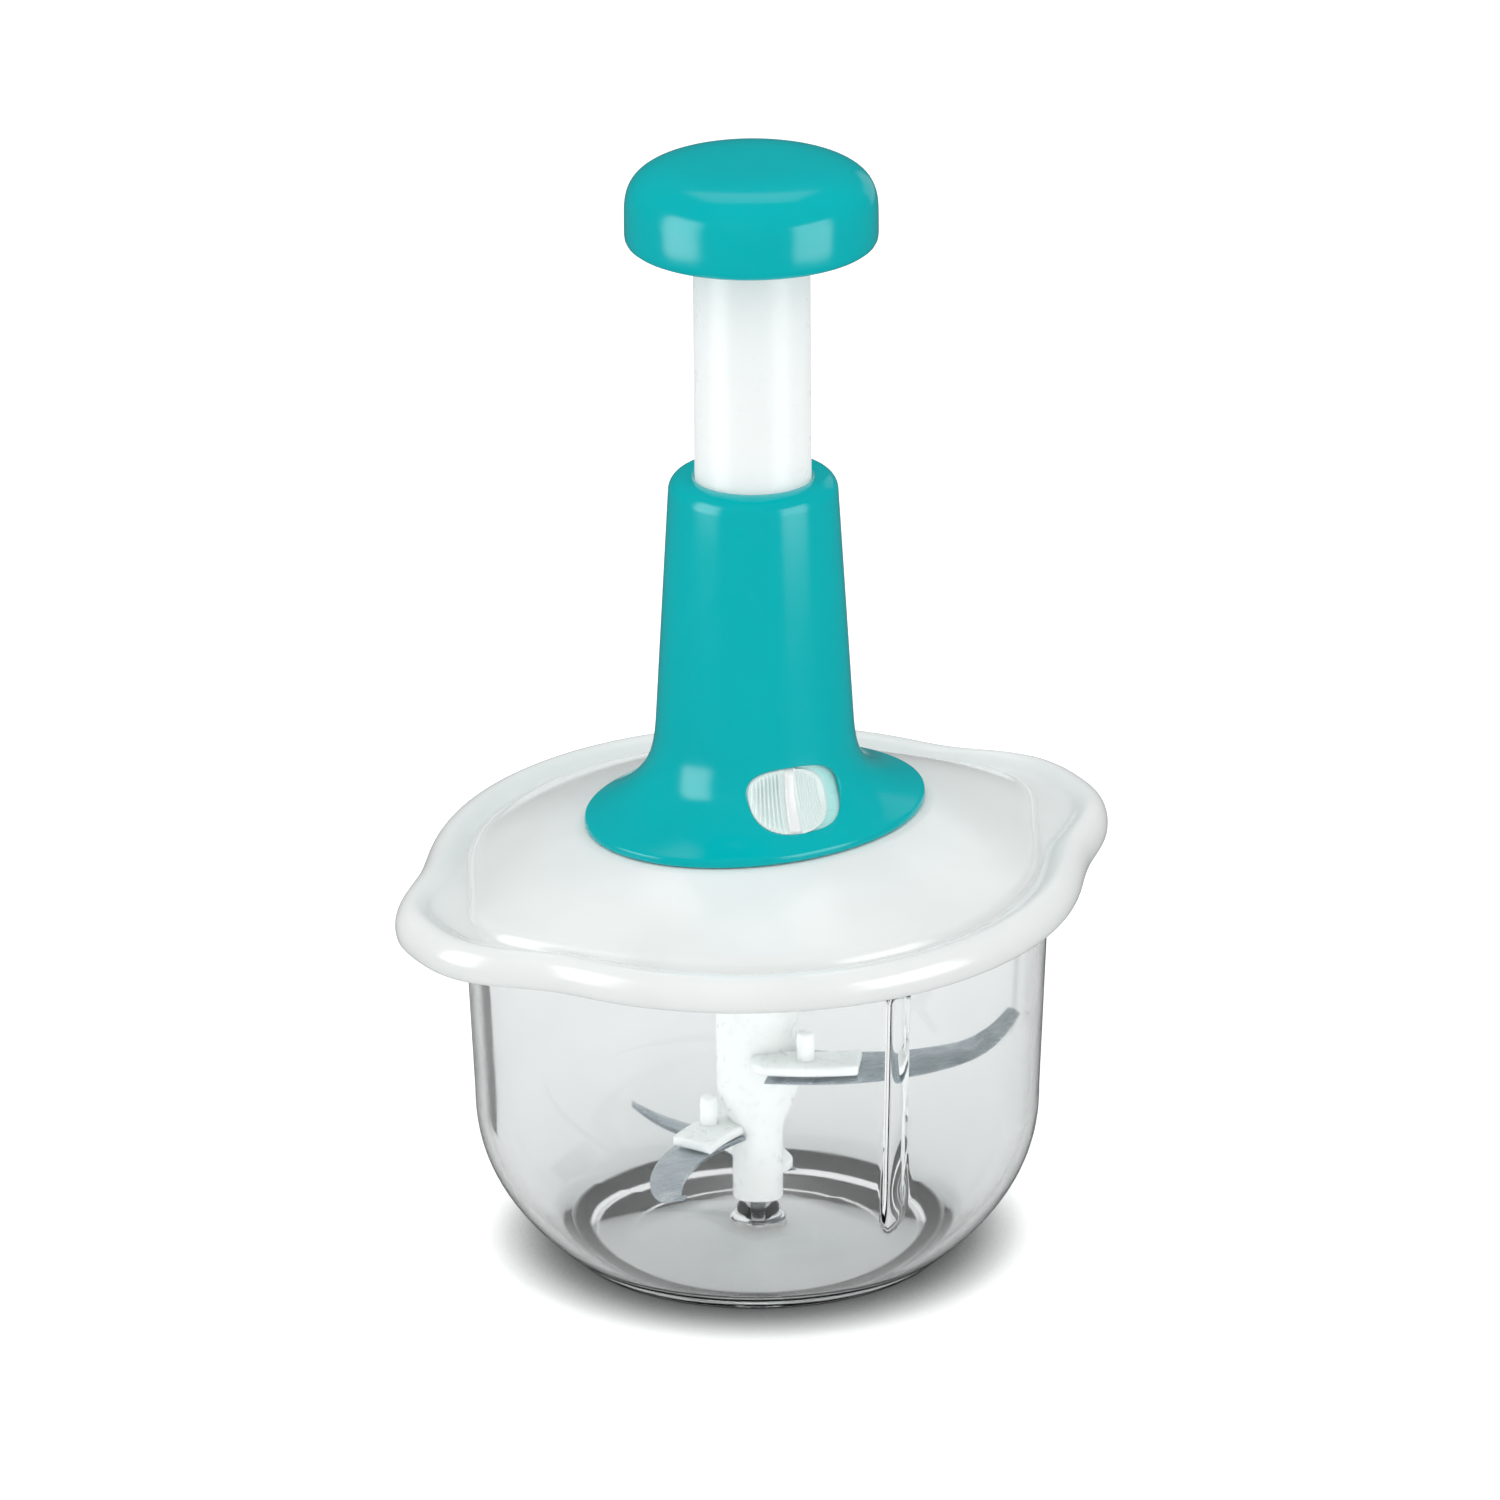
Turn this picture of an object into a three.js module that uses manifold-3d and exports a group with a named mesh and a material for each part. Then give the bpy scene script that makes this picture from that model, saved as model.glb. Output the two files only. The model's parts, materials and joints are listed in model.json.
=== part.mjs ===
// Plunger food chopper: pushing the knob drives a spiral rod that spins three blades in a clear bowl.
// Millimetres, +Z up. The origin is the middle of the bowl's foot, where it stands on the table.
// The lid's two ears point along X, and the lock slider is near the front, which is -Y.

import * as THREE from "three";
import { mergeVertices } from "three/addons/utils/BufferGeometryUtils.js";
import Module from "manifold-3d";

const wasm = await Module();
wasm.setup();

// Units and angles
const fullTurn = Math.PI * 2;
const degree = Math.PI / 180;

// Clearances
const gap = 0.3;
const overrun = 1;
const weldDistance = 0.0001;

// Bowl
const bowlHeight = 93;
const footRadius = 45;
const footRingWidth = 4.6;
const footRecess = 1;
const shoulderHeight = 38;
const mouthRadius = 68.8;
const wallLean = 2.4;
const shoulderRadius = mouthRadius - wallLean;
const bowlWall = 2.3;
const bowlFloor = 2.6;
const rimRounding = 0.8;
const shoulderRoundShare = 2.3;
const shoulderShares = [0.05, 0.14, 0.28, 0.47, 0.72, 1];
const bowlSides = 36;

// Upright ribs inside the bowl
const ribCount = 3;
const ribRadius = 3.4;
const ribProud = 3.2;
const ribFoot = 12;
const ribBelowRim = 10;
const ribTop = bowlHeight - ribBelowRim;
const ribSlope = 2.4;
const ribSides = 14;

// Boss and pin in the bowl's floor
const pinBossRadius = 6;
const pinBossTopRadius = 4;
const pinBossHeight = 5.8;
const pinRadius = 2;
const pinHeight = 24;
const pinTip = 0.6;
const pinSocketFloor = 2;

// Lid outline
const lidOverhang = 9.6;
const lidRadius = mouthRadius + lidOverhang;
const earReach = 14;
const earWidth = 16.5 * degree;
const earSharpnessShare = 2.9;
const lidSides = 40;
const earCrowdingShare = 0.4;

// Lid section, with its heights from the bowl's rim
const lidWall = 2.2;
const skirtDrop = 5;
const beadMiddleDrop = 1.4;
const beadShoulderRise = 2.6;
const beadTopRise = 5.3;
const beadFootRise = 2.7;
const plateauRise = 4.3;
const lidRise = 14.3;
const skirtBottom = bowlHeight - skirtDrop;
const beadMiddle = bowlHeight - beadMiddleDrop;
const beadShoulder = bowlHeight + beadShoulderRise;
const beadTop = bowlHeight + beadTopRise;
const beadFoot = bowlHeight + beadFootRise;
const plateauEdge = bowlHeight + plateauRise;
const lidTop = bowlHeight + lidRise;
const skirtInset = 0.6;
const beadShoulderInset = 1.2;
const beadTopInset = 4.4;
const beadInnerInset = 7.6;
const beadFootInset = 9.2;
const beadInnerDrop = 1.2;
const plateauFootInset = 2;
const plateauInset = 4.2;
const plateauFootRadius = mouthRadius - plateauFootInset;
const plateauRadius = mouthRadius - plateauInset;
const domeBulgeShare = 0.08;
const domeShares = [0.5];
const seatMargin = 1.6;

// Plug ring under the lid, and its seal
const plugPlay = 1.4;
const plugRadius = mouthRadius - bowlWall - plugPlay;
const plugWall = 2.5;
const plugDepth = 8.2;
const plugBottom = bowlHeight - plugDepth;
const plugChamfer = 0.7;
const plugRootRise = 2.9;
const plugRoot = bowlHeight + plugRootRise;
const sealGrooveRise = 1.5;
const sealGrooveBottom = plugBottom + sealGrooveRise;
const sealGrooveWidth = 3.8;
const sealGrooveTop = sealGrooveBottom + sealGrooveWidth;
const sealGrooveDepth = 1.1;
const sealBand = 0.9;
const plugSides = 32;

// Tower
const footLength = 86.4;
const footWidth = 69.6;
const footTurn = 11 * degree;
const footEdge = 1;
const flareHeight = 25;
const flareShare = 4;
const towerBaseRadius = 24.2;
const towerTopRadius = 19.5;
const towerHeight = 83.1;
const towerTop = lidTop + towerHeight;
const towerRounding = 4;
const towerWall = 2.2;
const footWall = 2.6;
const towerHoleRadius = 13.85;
const towerSides = 28;
const flareShares = [0.1, 0.24, 0.42, 0.66, 1];

// Screws that hold the drive housing, the lid and the tower together
const screwCount = 3;
const screwCircle = 20;
const screwBossRadius = 2.9;
const screwBossHeight = 14.7;
const screwBossTop = lidTop + screwBossHeight;
const screwRadius = 1.4;
const screwHeadRadius = 2.7;
const screwHeadHeight = 1.8;
const screwRise = 7.7;
const screwTop = lidTop + screwRise;
const screwSlotWidth = 0.8;
const screwSlotDepth = 0.8;
const screwFirst = 90 * degree;

// Lock slider and its window
const lockBearing = -95.7 * degree;
const windowRise = 4.9;
const windowHeight = 13.8;
const windowBottom = lidTop + windowRise;
const windowTop = windowBottom + windowHeight;
const windowTopHalf = 11.5;
const windowBottomHalf = 11.2;
const windowRounding = 5.5;
const lockTravel = 3.6;
const lockInset = 0.7;
const lockPlate = 1.8;
const lockOverlap = 1.7;
const lockPlateAngle = 33 * degree;
const lockPlateSteps = 6;
const lockRibCount = 8;
const lockFineRibCount = 3;
const lockRibProud = 0.5;
const lockRidgeProud = 1.8;
const lockRibAngle = 1.1 * degree;
const lockRibPitch = 2.1 * degree;
const lockRibFirst = -24.8 * degree;
const lockRidgeAngle = 4.4 * degree;
const lockRidgeBearing = -4.8 * degree;
const lockFineFirst = 8.2 * degree;

// Plunger tube and its guide
const tubeRadius = 13.5;
const tubeWall = 1.8;
const tubeGuided = 25.2;
const tubeShown = 65.6;
const tubeBottom = towerTop - tubeGuided;
const tubeTop = towerTop + tubeShown;
const tubeFlangeRadius = 15.2;
const tubeFlange = 2.2;
const bushBore = 13.8;
const bushRelief = 0.8;
const bushLand = 4;
const tubeSides = 20;

// Knob, which the tube's top end carries
const knobRadius = 28.8;
const knobDrop = 9.3;
const knobShoulderRise = 5.3;
const knobHeight = 19.3;
const knobBottom = tubeTop - knobDrop;
const knobShoulder = knobBottom + knobShoulderRise;
const knobTop = knobBottom + knobHeight;
const knobLip = 1.8;
const knobWall = 2.4;
const knobRoundShare = 3.3;
const knobShares = [0.2, 0.42, 0.62, 0.8, 1];
const socketWall = 1.8;
const socketRise = 4.8;
const socketBottom = knobBottom + socketRise;
const knobBossWall = 2;
const knobBossDrop = 4.7;
const knobBossBottom = knobBottom - knobBossDrop;
const knobBaseRise = 1.7;
const knobBaseBottom = knobBottom + knobBaseRise;
const knobBasePlate = 1.8;
const knobSides = 24;

// Spiral rod and what holds it
const rodWidth = 7;
const rodThickness = 3.2;
const rodLead = 28;
const rodReach = 11.9;
const rodBottom = lidTop - rodReach;
const rodRise = 1;
const rodTop = tubeTop + rodRise;
const rodStepsPerTurn = 14;
const rodBore = 4.4;
const holderDrop = 18;
const holderBottom = tubeTop - holderDrop;
const holderFlange = 3.6;
const holderRise = 4;
const holderTop = tubeTop + holderRise;
const holderSides = 16;
const rodPinRadius = 1.2;
const rodPinDrop = 7;
const rodPinHeight = tubeTop - rodPinDrop;

// Return spring and its seat
const springRadius = 8.6;
const wireRadius = 0.75;
const springCoils = 12;
const springStepsPerCoil = 8;
const wireSides = 4;
const seatFlangeRadius = 10.6;
const seatFlange = 1.8;
const seatCollarRadius = 7.3;
const seatCollar = 3.6;
const seatSpigotRadius = 6;
const seatSpigotDrop = 1.6;
const seatWallBottom = lidTop - seatSpigotDrop;

// Drive under the lid
const housingRadius = 15.6;
const housingDrop = 20.5;
const housingBottom = lidTop - housingDrop;
const housingFloor = 2;
const housingFlangeRadius = 24;
const housingFlange = 2.2;
const housingSides = 20;
const driveRadius = 13;
const couplerDisc = 5;
const clutchTeeth = 8;
const clutchToothHeight = 1.6;
const clutchInnerRadius = 5.4;
const clutchOuterRadius = 12.2;
const clutchStepShare = 0.08;
const clutchPlay = 0.45;
const clutchTurnPlay = 2 * degree;
const clutchRoot = 0.6;
const spigotAcross = 12;
const spigotDrop = 6.8;
const spigotBottom = housingBottom - spigotDrop;
const socketPlay = 0.3;

// Blade hub
const hubRadius = 9.6;
const hubBelowHousing = 1.2;
const hubTop = housingBottom - hubBelowHousing;
const hubConeTop = 37.6;
const hubConeBottom = 27.5;
const shaftRadius = 5.9;
const hubBottom = 9.9;
const hubSocketDepth = 6.4;
const hubBoreBottom = 38;
const hubSides = 20;
const bushWall = 1.3;
const bushHeight = 12;

// Blades, their arms and pegs
const bladeNames = ["upper", "middle", "lower"];
const bladeHeights = [45.6, 25.8, 13.2];
const bladeTipRooms = [6.1, 8.3, 10.9];
const bladeHubRadii = [hubRadius, shaftRadius, shaftRadius];
const bladeBearing = -13 * degree;
const bladePlate = 1.2;
const bladeEdge = 0.25;
const bladeBevel = 3;
const bladeBowShare = 0.31;
const bladeHollowShare = 0.14;
const rootLeadAlongShare = -0.15;
const rootLeadAcrossShare = 0.94;
const rootTrailAlongShare = 0.94;
const rootTrailAcrossShare = 0.1;
const bladeTip = 3.4;
const tipTaper = 2.8;
const tipRise = 3.2;
const foldShare = 0.9;
const bladeShares = [0, 0.07, 0.16, 0.26, 0.37, 0.49, 0.61, 0.73, 0.83, 0.9, 1];
const armShares = [0, 0.07, 0.14, 0.22, 0.3, 0.37];
const armThickness = 2.4;
const armInset = 0.8;
const pegRadius = 2.1;
const pegHeadRadius = 3;
const pegHead = 0.9;
const pegAboveArm = 7;
const pegAlongShare = 0.13;
const pegAcrossShare = 0.4;
const pegSides = 10;

// Surface finishes, from the photograph
const teal = { color: 0x00b2b6, roughness: 0.28, metalness: 0 };
const white = { color: 0xeef2f3, roughness: 0.3, metalness: 0 };
const tubeWhite = { color: 0xe9eeee, roughness: 0.35, metalness: 0 };
const clear = { color: 0xe8eceb, roughness: 0.06, metalness: 0, transparent: true, opacity: 0.35 };
const steel = { color: 0xa9b4bb, roughness: 0.28, metalness: 1 };
const springSteel = { color: 0x8f979c, roughness: 0.35, metalness: 1 };
const greyPlastic = { color: 0xb8bdc0, roughness: 0.5, metalness: 0 };
const brassMetal = { color: 0xb9924f, roughness: 0.35, metalness: 1 };
const sealRubber = { color: 0xd5dadc, roughness: 0.7, metalness: 0 };

// Turns loose triangles into a closed solid that faces outwards.
function solidOf(geometry) {
  geometry.deleteAttribute("normal");
  geometry.deleteAttribute("uv");
  const welded = mergeVertices(geometry, weldDistance);
  const places = welded.attributes.position;
  const corner = (index) => new THREE.Vector3().fromBufferAttribute(places, index);
  const triangles = [];
  let volume = 0;
  for (let i = 0; i < welded.index.count; i += 3) {
    const [a, b, c] = [0, 1, 2].map((k) => welded.index.getX(i + k));
    if (a === b || b === c || c === a) continue;
    volume += corner(a).dot(corner(b).cross(corner(c)));
    triangles.push([a, b, c]);
  }
  const facing = volume < 0 ? triangles.map(([a, b, c]) => [a, c, b]) : triangles;
  return new wasm.Manifold(
    new wasm.Mesh({
      numProp: 3,
      vertProperties: new Float32Array(places.array),
      triVerts: new Uint32Array(facing.flat()),
    }),
  );
}

function together(...solids) {
  return solids.flat().reduce((whole, solid) => whole.add(solid));
}

function without(solid, ...cutters) {
  return cutters.flat().reduce((rest, cutter) => rest.subtract(cutter), solid);
}

// Turns a profile of [radius, height] points about Z. It starts and ends on the axis, or is a closed loop.
function turned(profile, sides) {
  const points = profile.map(([radius, height]) => new THREE.Vector2(radius, height));
  const geometry = new THREE.LatheGeometry(points, sides);
  return solidOf(geometry.rotateX(Math.PI / 2));
}

// A ring whose profile is closed by its own first point.
function ring(profile, sides) {
  return turned([...profile, profile[0]], sides);
}

function disc(radius, bottom, top, sides) {
  return turned([[0, bottom], [radius, bottom], [radius, top], [0, top]], sides);
}

function pipe(inner, outer, bottom, top, sides) {
  return ring([[inner, bottom], [outer, bottom], [outer, top], [inner, top]], sides);
}

// Triangles that fill a flat outline, all facing the same way as the outline runs.
function filling(outline) {
  const area = THREE.ShapeUtils.area(outline);
  return THREE.ShapeUtils.triangulateShape(outline, []).map(([a, b, c]) => {
    const sameWay = THREE.ShapeUtils.area([outline[a], outline[b], outline[c]]) * area > 0;
    return sameWay ? [a, b, c] : [a, c, b];
  });
}

// Joins equal loops of points into one skin. With a cap the ends are filled, else the last loop meets the first.
function lofted(loops, cap = null) {
  const size = loops[0].length;
  const last = loops.length - 1;
  const index = [];
  const spans = cap ? last : loops.length;
  for (let k = 0; k < spans; k += 1) {
    const here = k * size;
    const there = ((k + 1) % loops.length) * size;
    for (let j = 0; j < size; j += 1) {
      const next = (j + 1) % size;
      index.push(here + j, here + next, there + next);
      index.push(here + j, there + next, there + j);
    }
  }
  for (const [a, b, c] of cap ?? []) {
    index.push(a, c, b);
    index.push(last * size + a, last * size + b, last * size + c);
  }
  const geometry = new THREE.BufferGeometry();
  geometry.setAttribute("position", new THREE.Float32BufferAttribute(loops.flat(2), 3));
  geometry.setIndex(index);
  return solidOf(geometry);
}

// Triangles for the end of a loop with no hollow corners.
function fan(size) {
  return Array.from({ length: size - 2 }, (_, k) => [0, k + 1, k + 2]);
}

// Sweeps a profile of [radius, height] points about Z from one angle to another and fills both ends.
function sector(profile, from, to, steps) {
  const cap = filling(profile.map(([radius, height]) => new THREE.Vector2(radius, height)));
  const loops = Array.from({ length: steps + 1 }, (_, k) => {
    const angle = from + ((to - from) * k) / steps;
    return profile.map(([radius, height]) => [radius * Math.cos(angle), radius * Math.sin(angle), height]);
  });
  return lofted(loops, cap);
}

function finished(name, solid, finish) {
  const { vertProperties, triVerts, numProp } = solid.getMesh();
  const places = [];
  for (let i = 0; i < vertProperties.length; i += numProp) {
    places.push(vertProperties[i], vertProperties[i + 1], vertProperties[i + 2]);
  }
  const geometry = new THREE.BufferGeometry();
  geometry.setAttribute("position", new THREE.Float32BufferAttribute(places, 3));
  geometry.setIndex(Array.from(triVerts));
  geometry.computeVertexNormals();
  const mesh = new THREE.Mesh(geometry, new THREE.MeshStandardMaterial(finish));
  mesh.name = name;
  return mesh;
}

function mix(from, to, share) {
  return from + (to - from) * share;
}

// Bowl

function bowlRadius(height) {
  if (height >= shoulderHeight) {
    return mix(shoulderRadius, mouthRadius, (height - shoulderHeight) / (bowlHeight - shoulderHeight));
  }
  const left = 1 - height / shoulderHeight;
  return mix(footRadius, shoulderRadius, 1 - left ** shoulderRoundShare);
}

// The point of the inner face that lies one wall in from the outer face at this height.
function bowlInside(height) {
  const step = shoulderHeight / bowlSides;
  const slope = (bowlRadius(height + step) - bowlRadius(height)) / step;
  const length = Math.hypot(slope, 1);
  return [bowlRadius(height) - bowlWall / length, height + (bowlWall * slope) / length];
}

function bowl() {
  const floorTop = footRecess + bowlFloor;
  const bossTop = floorTop + pinBossHeight;
  const heights = shoulderShares.map((share) => share * shoulderHeight);
  const innerRim = mouthRadius - bowlWall;
  const rimStart = bowlHeight - rimRounding;
  const outside = [
    [0, footRecess],
    [footRadius - footRingWidth - footRecess, footRecess],
    [footRadius - footRingWidth, 0],
    [footRadius, 0],
    ...heights.map((height) => [bowlRadius(height), height]),
    [mouthRadius, rimStart],
    [mouthRadius - rimRounding, bowlHeight],
  ];
  const inside = [
    [innerRim + rimRounding, bowlHeight],
    [innerRim, rimStart],
    ...heights.map(bowlInside).filter(([, height]) => height > floorTop + bowlFloor / 2).reverse(),
    [footRadius, floorTop],
    [pinBossRadius, floorTop],
    [pinBossTopRadius, bossTop],
    [0, bossTop],
  ];
  const shell = turned([...outside, ...inside], bowlSides);
  const midWall = heights.map((height) => {
    const [radius, inner] = bowlInside(height);
    return [(bowlRadius(height) + radius) / 2, (height + inner) / 2];
  });
  const middle = mouthRadius - bowlWall / 2;
  const block = turned([[0, floorTop], ...midWall.slice(1), [middle, bowlHeight], [0, bowlHeight]], bowlSides);
  const pinHole = disc(pinRadius + gap, pinSocketFloor + gap, bossTop + overrun, pegSides);
  return without(together(shell, bowlRibs(block)), pinHole);
}

// Half-round ribs that lean with the wall and fade into the shoulder below.
function bowlRibs(block) {
  const [wallLow] = bowlInside(shoulderHeight);
  const wallHigh = mouthRadius - bowlWall;
  const lean = Math.atan2(wallHigh - wallLow, bowlHeight - shoulderHeight);
  const profile = [
    [0, ribFoot],
    [ribRadius, ribFoot],
    [ribRadius, ribTop - ribSlope],
    [ribRadius - ribSlope, ribTop],
    [0, ribTop],
  ];
  return Array.from({ length: ribCount }, (_, k) => {
    const turn = -Math.PI / 2 + (fullTurn * k) / ribCount;
    const points = profile.map(([radius, height]) => new THREE.Vector2(radius, height - shoulderHeight));
    const geometry = new THREE.LatheGeometry(points, ribSides).rotateX(Math.PI / 2);
    geometry.rotateY(lean);
    geometry.translate(wallLow + ribRadius - ribProud, 0, shoulderHeight);
    geometry.rotateZ(turn);
    return solidOf(geometry).intersect(block);
  });
}

function bowlPin() {
  return turned(
    [
      [0, pinSocketFloor + gap * 2],
      [pinRadius, pinSocketFloor + gap * 2],
      [pinRadius, pinHeight - pinTip],
      [pinRadius - pinTip, pinHeight],
      [0, pinHeight],
    ],
    pegSides,
  );
}

// Lid

// Distance of the lid's edge from the axis, with an ear at each end of X.
function lidEdge(angle) {
  const fromEar = Math.abs(Math.asin(Math.sin(angle)));
  return lidRadius + earReach * Math.exp(-((fromEar / earWidth) ** earSharpnessShare));
}

// Radius of the tower's oval foot, whose long axis is turned a little from the ears.
function ovalFoot(angle) {
  const fromLength = angle - footTurn;
  return 1 / Math.hypot((2 * Math.cos(fromLength)) / footLength, (2 * Math.sin(fromLength)) / footWidth);
}

function seatRadius(angle) {
  return ovalFoot(angle) + seatMargin;
}

// A level loop around Z whose radius depends on the angle, with more points near the ears.
function levelLoop(radiusAt, height) {
  return Array.from({ length: lidSides }, (_, k) => {
    const even = (fullTurn * k) / lidSides;
    const angle = even - earCrowdingShare * 0.5 * Math.sin(2 * even);
    const radius = radiusAt(angle);
    return [radius * Math.cos(angle), radius * Math.sin(angle), height];
  });
}

function lidShell() {
  const inset = (distance) => (angle) => lidEdge(angle) - distance;
  const circle = (radius) => () => radius;
  const dome = (share, drop) => {
    const radiusAt = (angle) => mix(plateauRadius, seatRadius(angle), share) - drop / 2;
    const rise = share + domeBulgeShare * Math.sin(Math.PI * share);
    return levelLoop(radiusAt, mix(plateauEdge, lidTop, rise) - drop);
  };
  const rimSeat = bowlHeight + gap;
  const hole = circle(seatSpigotRadius + gap);
  return lofted([
    levelLoop(inset(skirtInset), skirtBottom),
    levelLoop(inset(0), beadMiddle),
    levelLoop(inset(beadShoulderInset), beadShoulder),
    levelLoop(inset(beadTopInset), beadTop),
    levelLoop(inset(beadInnerInset), beadTop - beadInnerDrop),
    levelLoop(inset(beadFootInset), beadFoot),
    levelLoop(circle(plateauFootRadius), beadFoot),
    levelLoop(circle(plateauRadius), plateauEdge),
    ...domeShares.map((share) => dome(share, 0)),
    levelLoop(seatRadius, lidTop),
    levelLoop(hole, lidTop),
    levelLoop(hole, lidTop - lidWall),
    levelLoop((angle) => seatRadius(angle) - lidWall / 2, lidTop - lidWall),
    ...domeShares.map((share) => dome(share, lidWall)).reverse(),
    levelLoop(circle(plugRadius - plugWall), plateauEdge - lidWall),
    levelLoop(circle(plugRadius + sealGrooveDepth / 2), rimSeat),
    levelLoop(inset(beadFootInset), rimSeat),
    levelLoop(inset(beadTopInset + lidWall / 4), beadTop - lidWall),
    levelLoop(inset(lidWall), beadMiddle),
    levelLoop(inset(skirtInset + lidWall), skirtBottom),
  ]);
}

function lid() {
  const innerPlug = plugRadius - plugWall;
  const grooveFloor = plugRadius - sealGrooveDepth;
  const plug = ring(
    [
      [innerPlug, plugBottom],
      [plugRadius - plugChamfer, plugBottom],
      [plugRadius, plugBottom + plugChamfer],
      [plugRadius, sealGrooveBottom],
      [grooveFloor, sealGrooveBottom],
      [grooveFloor, sealGrooveTop],
      [plugRadius, sealGrooveTop],
      [plugRadius, plugRoot],
      [innerPlug, plugRoot],
    ],
    plugSides,
  );
  const holes = screwAngles().map((angle) => {
    const hole = disc(screwRadius + gap, lidTop - lidWall - overrun, lidTop + overrun, pegSides);
    return hole.translate([screwCircle * Math.cos(angle), screwCircle * Math.sin(angle), 0]);
  });
  return without(together(lidShell(), plug), holes);
}

// Silicone ring with two soft lips that press on the bowl's mouth.
function lidSeal() {
  const inner = plugRadius - sealGrooveDepth + gap;
  const bottom = sealGrooveBottom + gap;
  const top = sealGrooveTop - gap;
  const band = inner + sealBand;
  const [wallRadius] = bowlInside(bottom);
  const lip = wallRadius - gap;
  const quarter = (top - bottom) / 4;
  return ring(
    [
      [inner, bottom],
      [band, bottom],
      [lip, bottom + quarter],
      [band, bottom + 2 * quarter],
      [lip, bottom + 3 * quarter],
      [band, top],
      [inner, top],
    ],
    plugSides,
  );
}

// Tower

function wallRadius(height) {
  return mix(towerBaseRadius, towerTopRadius, (height - lidTop) / (towerTop - towerRounding - lidTop));
}

// Radius of the tower's outer face: a tapering round wall that flares into an oval foot.
function towerRadius(angle, height) {
  const left = Math.max(0, 1 - (height - footTopHeight()) / flareHeight);
  const flare = ovalFoot(angle) - towerBaseRadius;
  return wallRadius(height) + flare * left ** flareShare;
}

function footTopHeight() {
  return lidTop + gap + footEdge;
}

function towerLoop(radiusAt, height) {
  return Array.from({ length: towerSides }, (_, k) => {
    const angle = (fullTurn * k) / towerSides;
    const radius = radiusAt(angle);
    return [radius * Math.cos(angle), radius * Math.sin(angle), height];
  });
}

function flareHeights() {
  return flareShares.map((share) => footTopHeight() + share * flareHeight);
}

function towerShell() {
  const bottom = lidTop + gap;
  const heights = flareHeights();
  const roundingBottom = towerTop - towerRounding;
  const quarter = Math.PI / 2;
  const roundingShares = [0, 0.5, 1];
  const outer = (height) => towerLoop((angle) => towerRadius(angle, height), height);
  const inner = (height) => {
    const wall = height > footTopHeight() + flareHeight ? towerWall : footWall;
    return towerLoop((angle) => towerRadius(angle, height) - wall, height);
  };
  const rounding = roundingShares.map((share) => {
    const radius = towerTopRadius - towerRounding * (1 - Math.cos(share * quarter));
    return towerLoop(() => radius, roundingBottom + towerRounding * Math.sin(share * quarter));
  });
  return lofted([
    towerLoop(ovalFoot, bottom),
    outer(footTopHeight()),
    ...heights.map(outer),
    ...rounding,
    towerLoop(() => towerHoleRadius, towerTop),
    towerLoop(() => towerHoleRadius, towerTop - towerWall),
    towerLoop(() => towerTopRadius - towerWall - gap, towerTop - towerWall),
    inner(roundingBottom - overrun),
    ...heights.map(inner).reverse(),
    towerLoop((angle) => towerRadius(angle, footTopHeight()) - footWall, bottom),
  ]);
}

function screwAngles() {
  return Array.from({ length: screwCount }, (_, k) => screwFirst + (fullTurn * k) / screwCount);
}

function tower() {
  const bottom = lidTop + gap;
  const bosses = screwAngles().map((angle) => {
    const boss = turned(
      [
        [0, bottom],
        [screwBossRadius, bottom],
        [screwBossRadius, screwBossTop],
        [0, screwBossTop + screwBossRadius],
      ],
      pegSides,
    );
    return boss.translate([screwCircle * Math.cos(angle), screwCircle * Math.sin(angle), 0]);
  });
  const holes = screwAngles().map((angle) => {
    const hole = disc(screwRadius + gap, bottom - overrun, screwTop + gap, pegSides);
    return hole.translate([screwCircle * Math.cos(angle), screwCircle * Math.sin(angle), 0]);
  });
  return without(together(towerShell(), bosses), holes, windowCutter());
}

// Outline of the lock's window, seen along its bearing: across to the right, up along Z.
function windowOutline(shrink, rightShrink) {
  const bottom = windowBottom + shrink;
  const top = windowTop - shrink;
  const round = windowRounding - shrink;
  const left = shrink;
  const right = shrink + rightShrink;
  const corner = round / 2;
  const shape = new THREE.Shape();
  shape.moveTo(-windowBottomHalf + left + round, bottom);
  shape.lineTo(windowBottomHalf - right - round, bottom);
  shape.quadraticCurveTo(windowBottomHalf - right - corner / 2, bottom, windowBottomHalf - right, bottom + round);
  shape.lineTo(windowTopHalf - right, top - round);
  shape.quadraticCurveTo(windowTopHalf - right, top, windowTopHalf - right - round, top);
  shape.lineTo(-windowTopHalf + left + round, top);
  shape.quadraticCurveTo(-windowTopHalf + left, top, -windowTopHalf + left, top - round);
  shape.lineTo(-windowBottomHalf + left, bottom + round);
  shape.quadraticCurveTo(-windowBottomHalf + left + corner / 2, bottom, -windowBottomHalf + left + round, bottom);
  return shape;
}

// A prism through the window's outline, reaching outwards from just outside the tube.
function windowPrism(shrink, rightShrink) {
  const depth = footWidth / 2 - tubeFlangeRadius + overrun;
  const geometry = new THREE.ExtrudeGeometry(windowOutline(shrink, rightShrink), {
    depth,
    bevelEnabled: false,
    curveSegments: 4,
  });
  geometry.rotateX(Math.PI / 2);
  geometry.translate(0, -tubeFlangeRadius - gap, 0);
  geometry.rotateZ(lockBearing + Math.PI / 2);
  return solidOf(geometry);
}

function windowCutter() {
  return windowPrism(0, 0);
}

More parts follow.
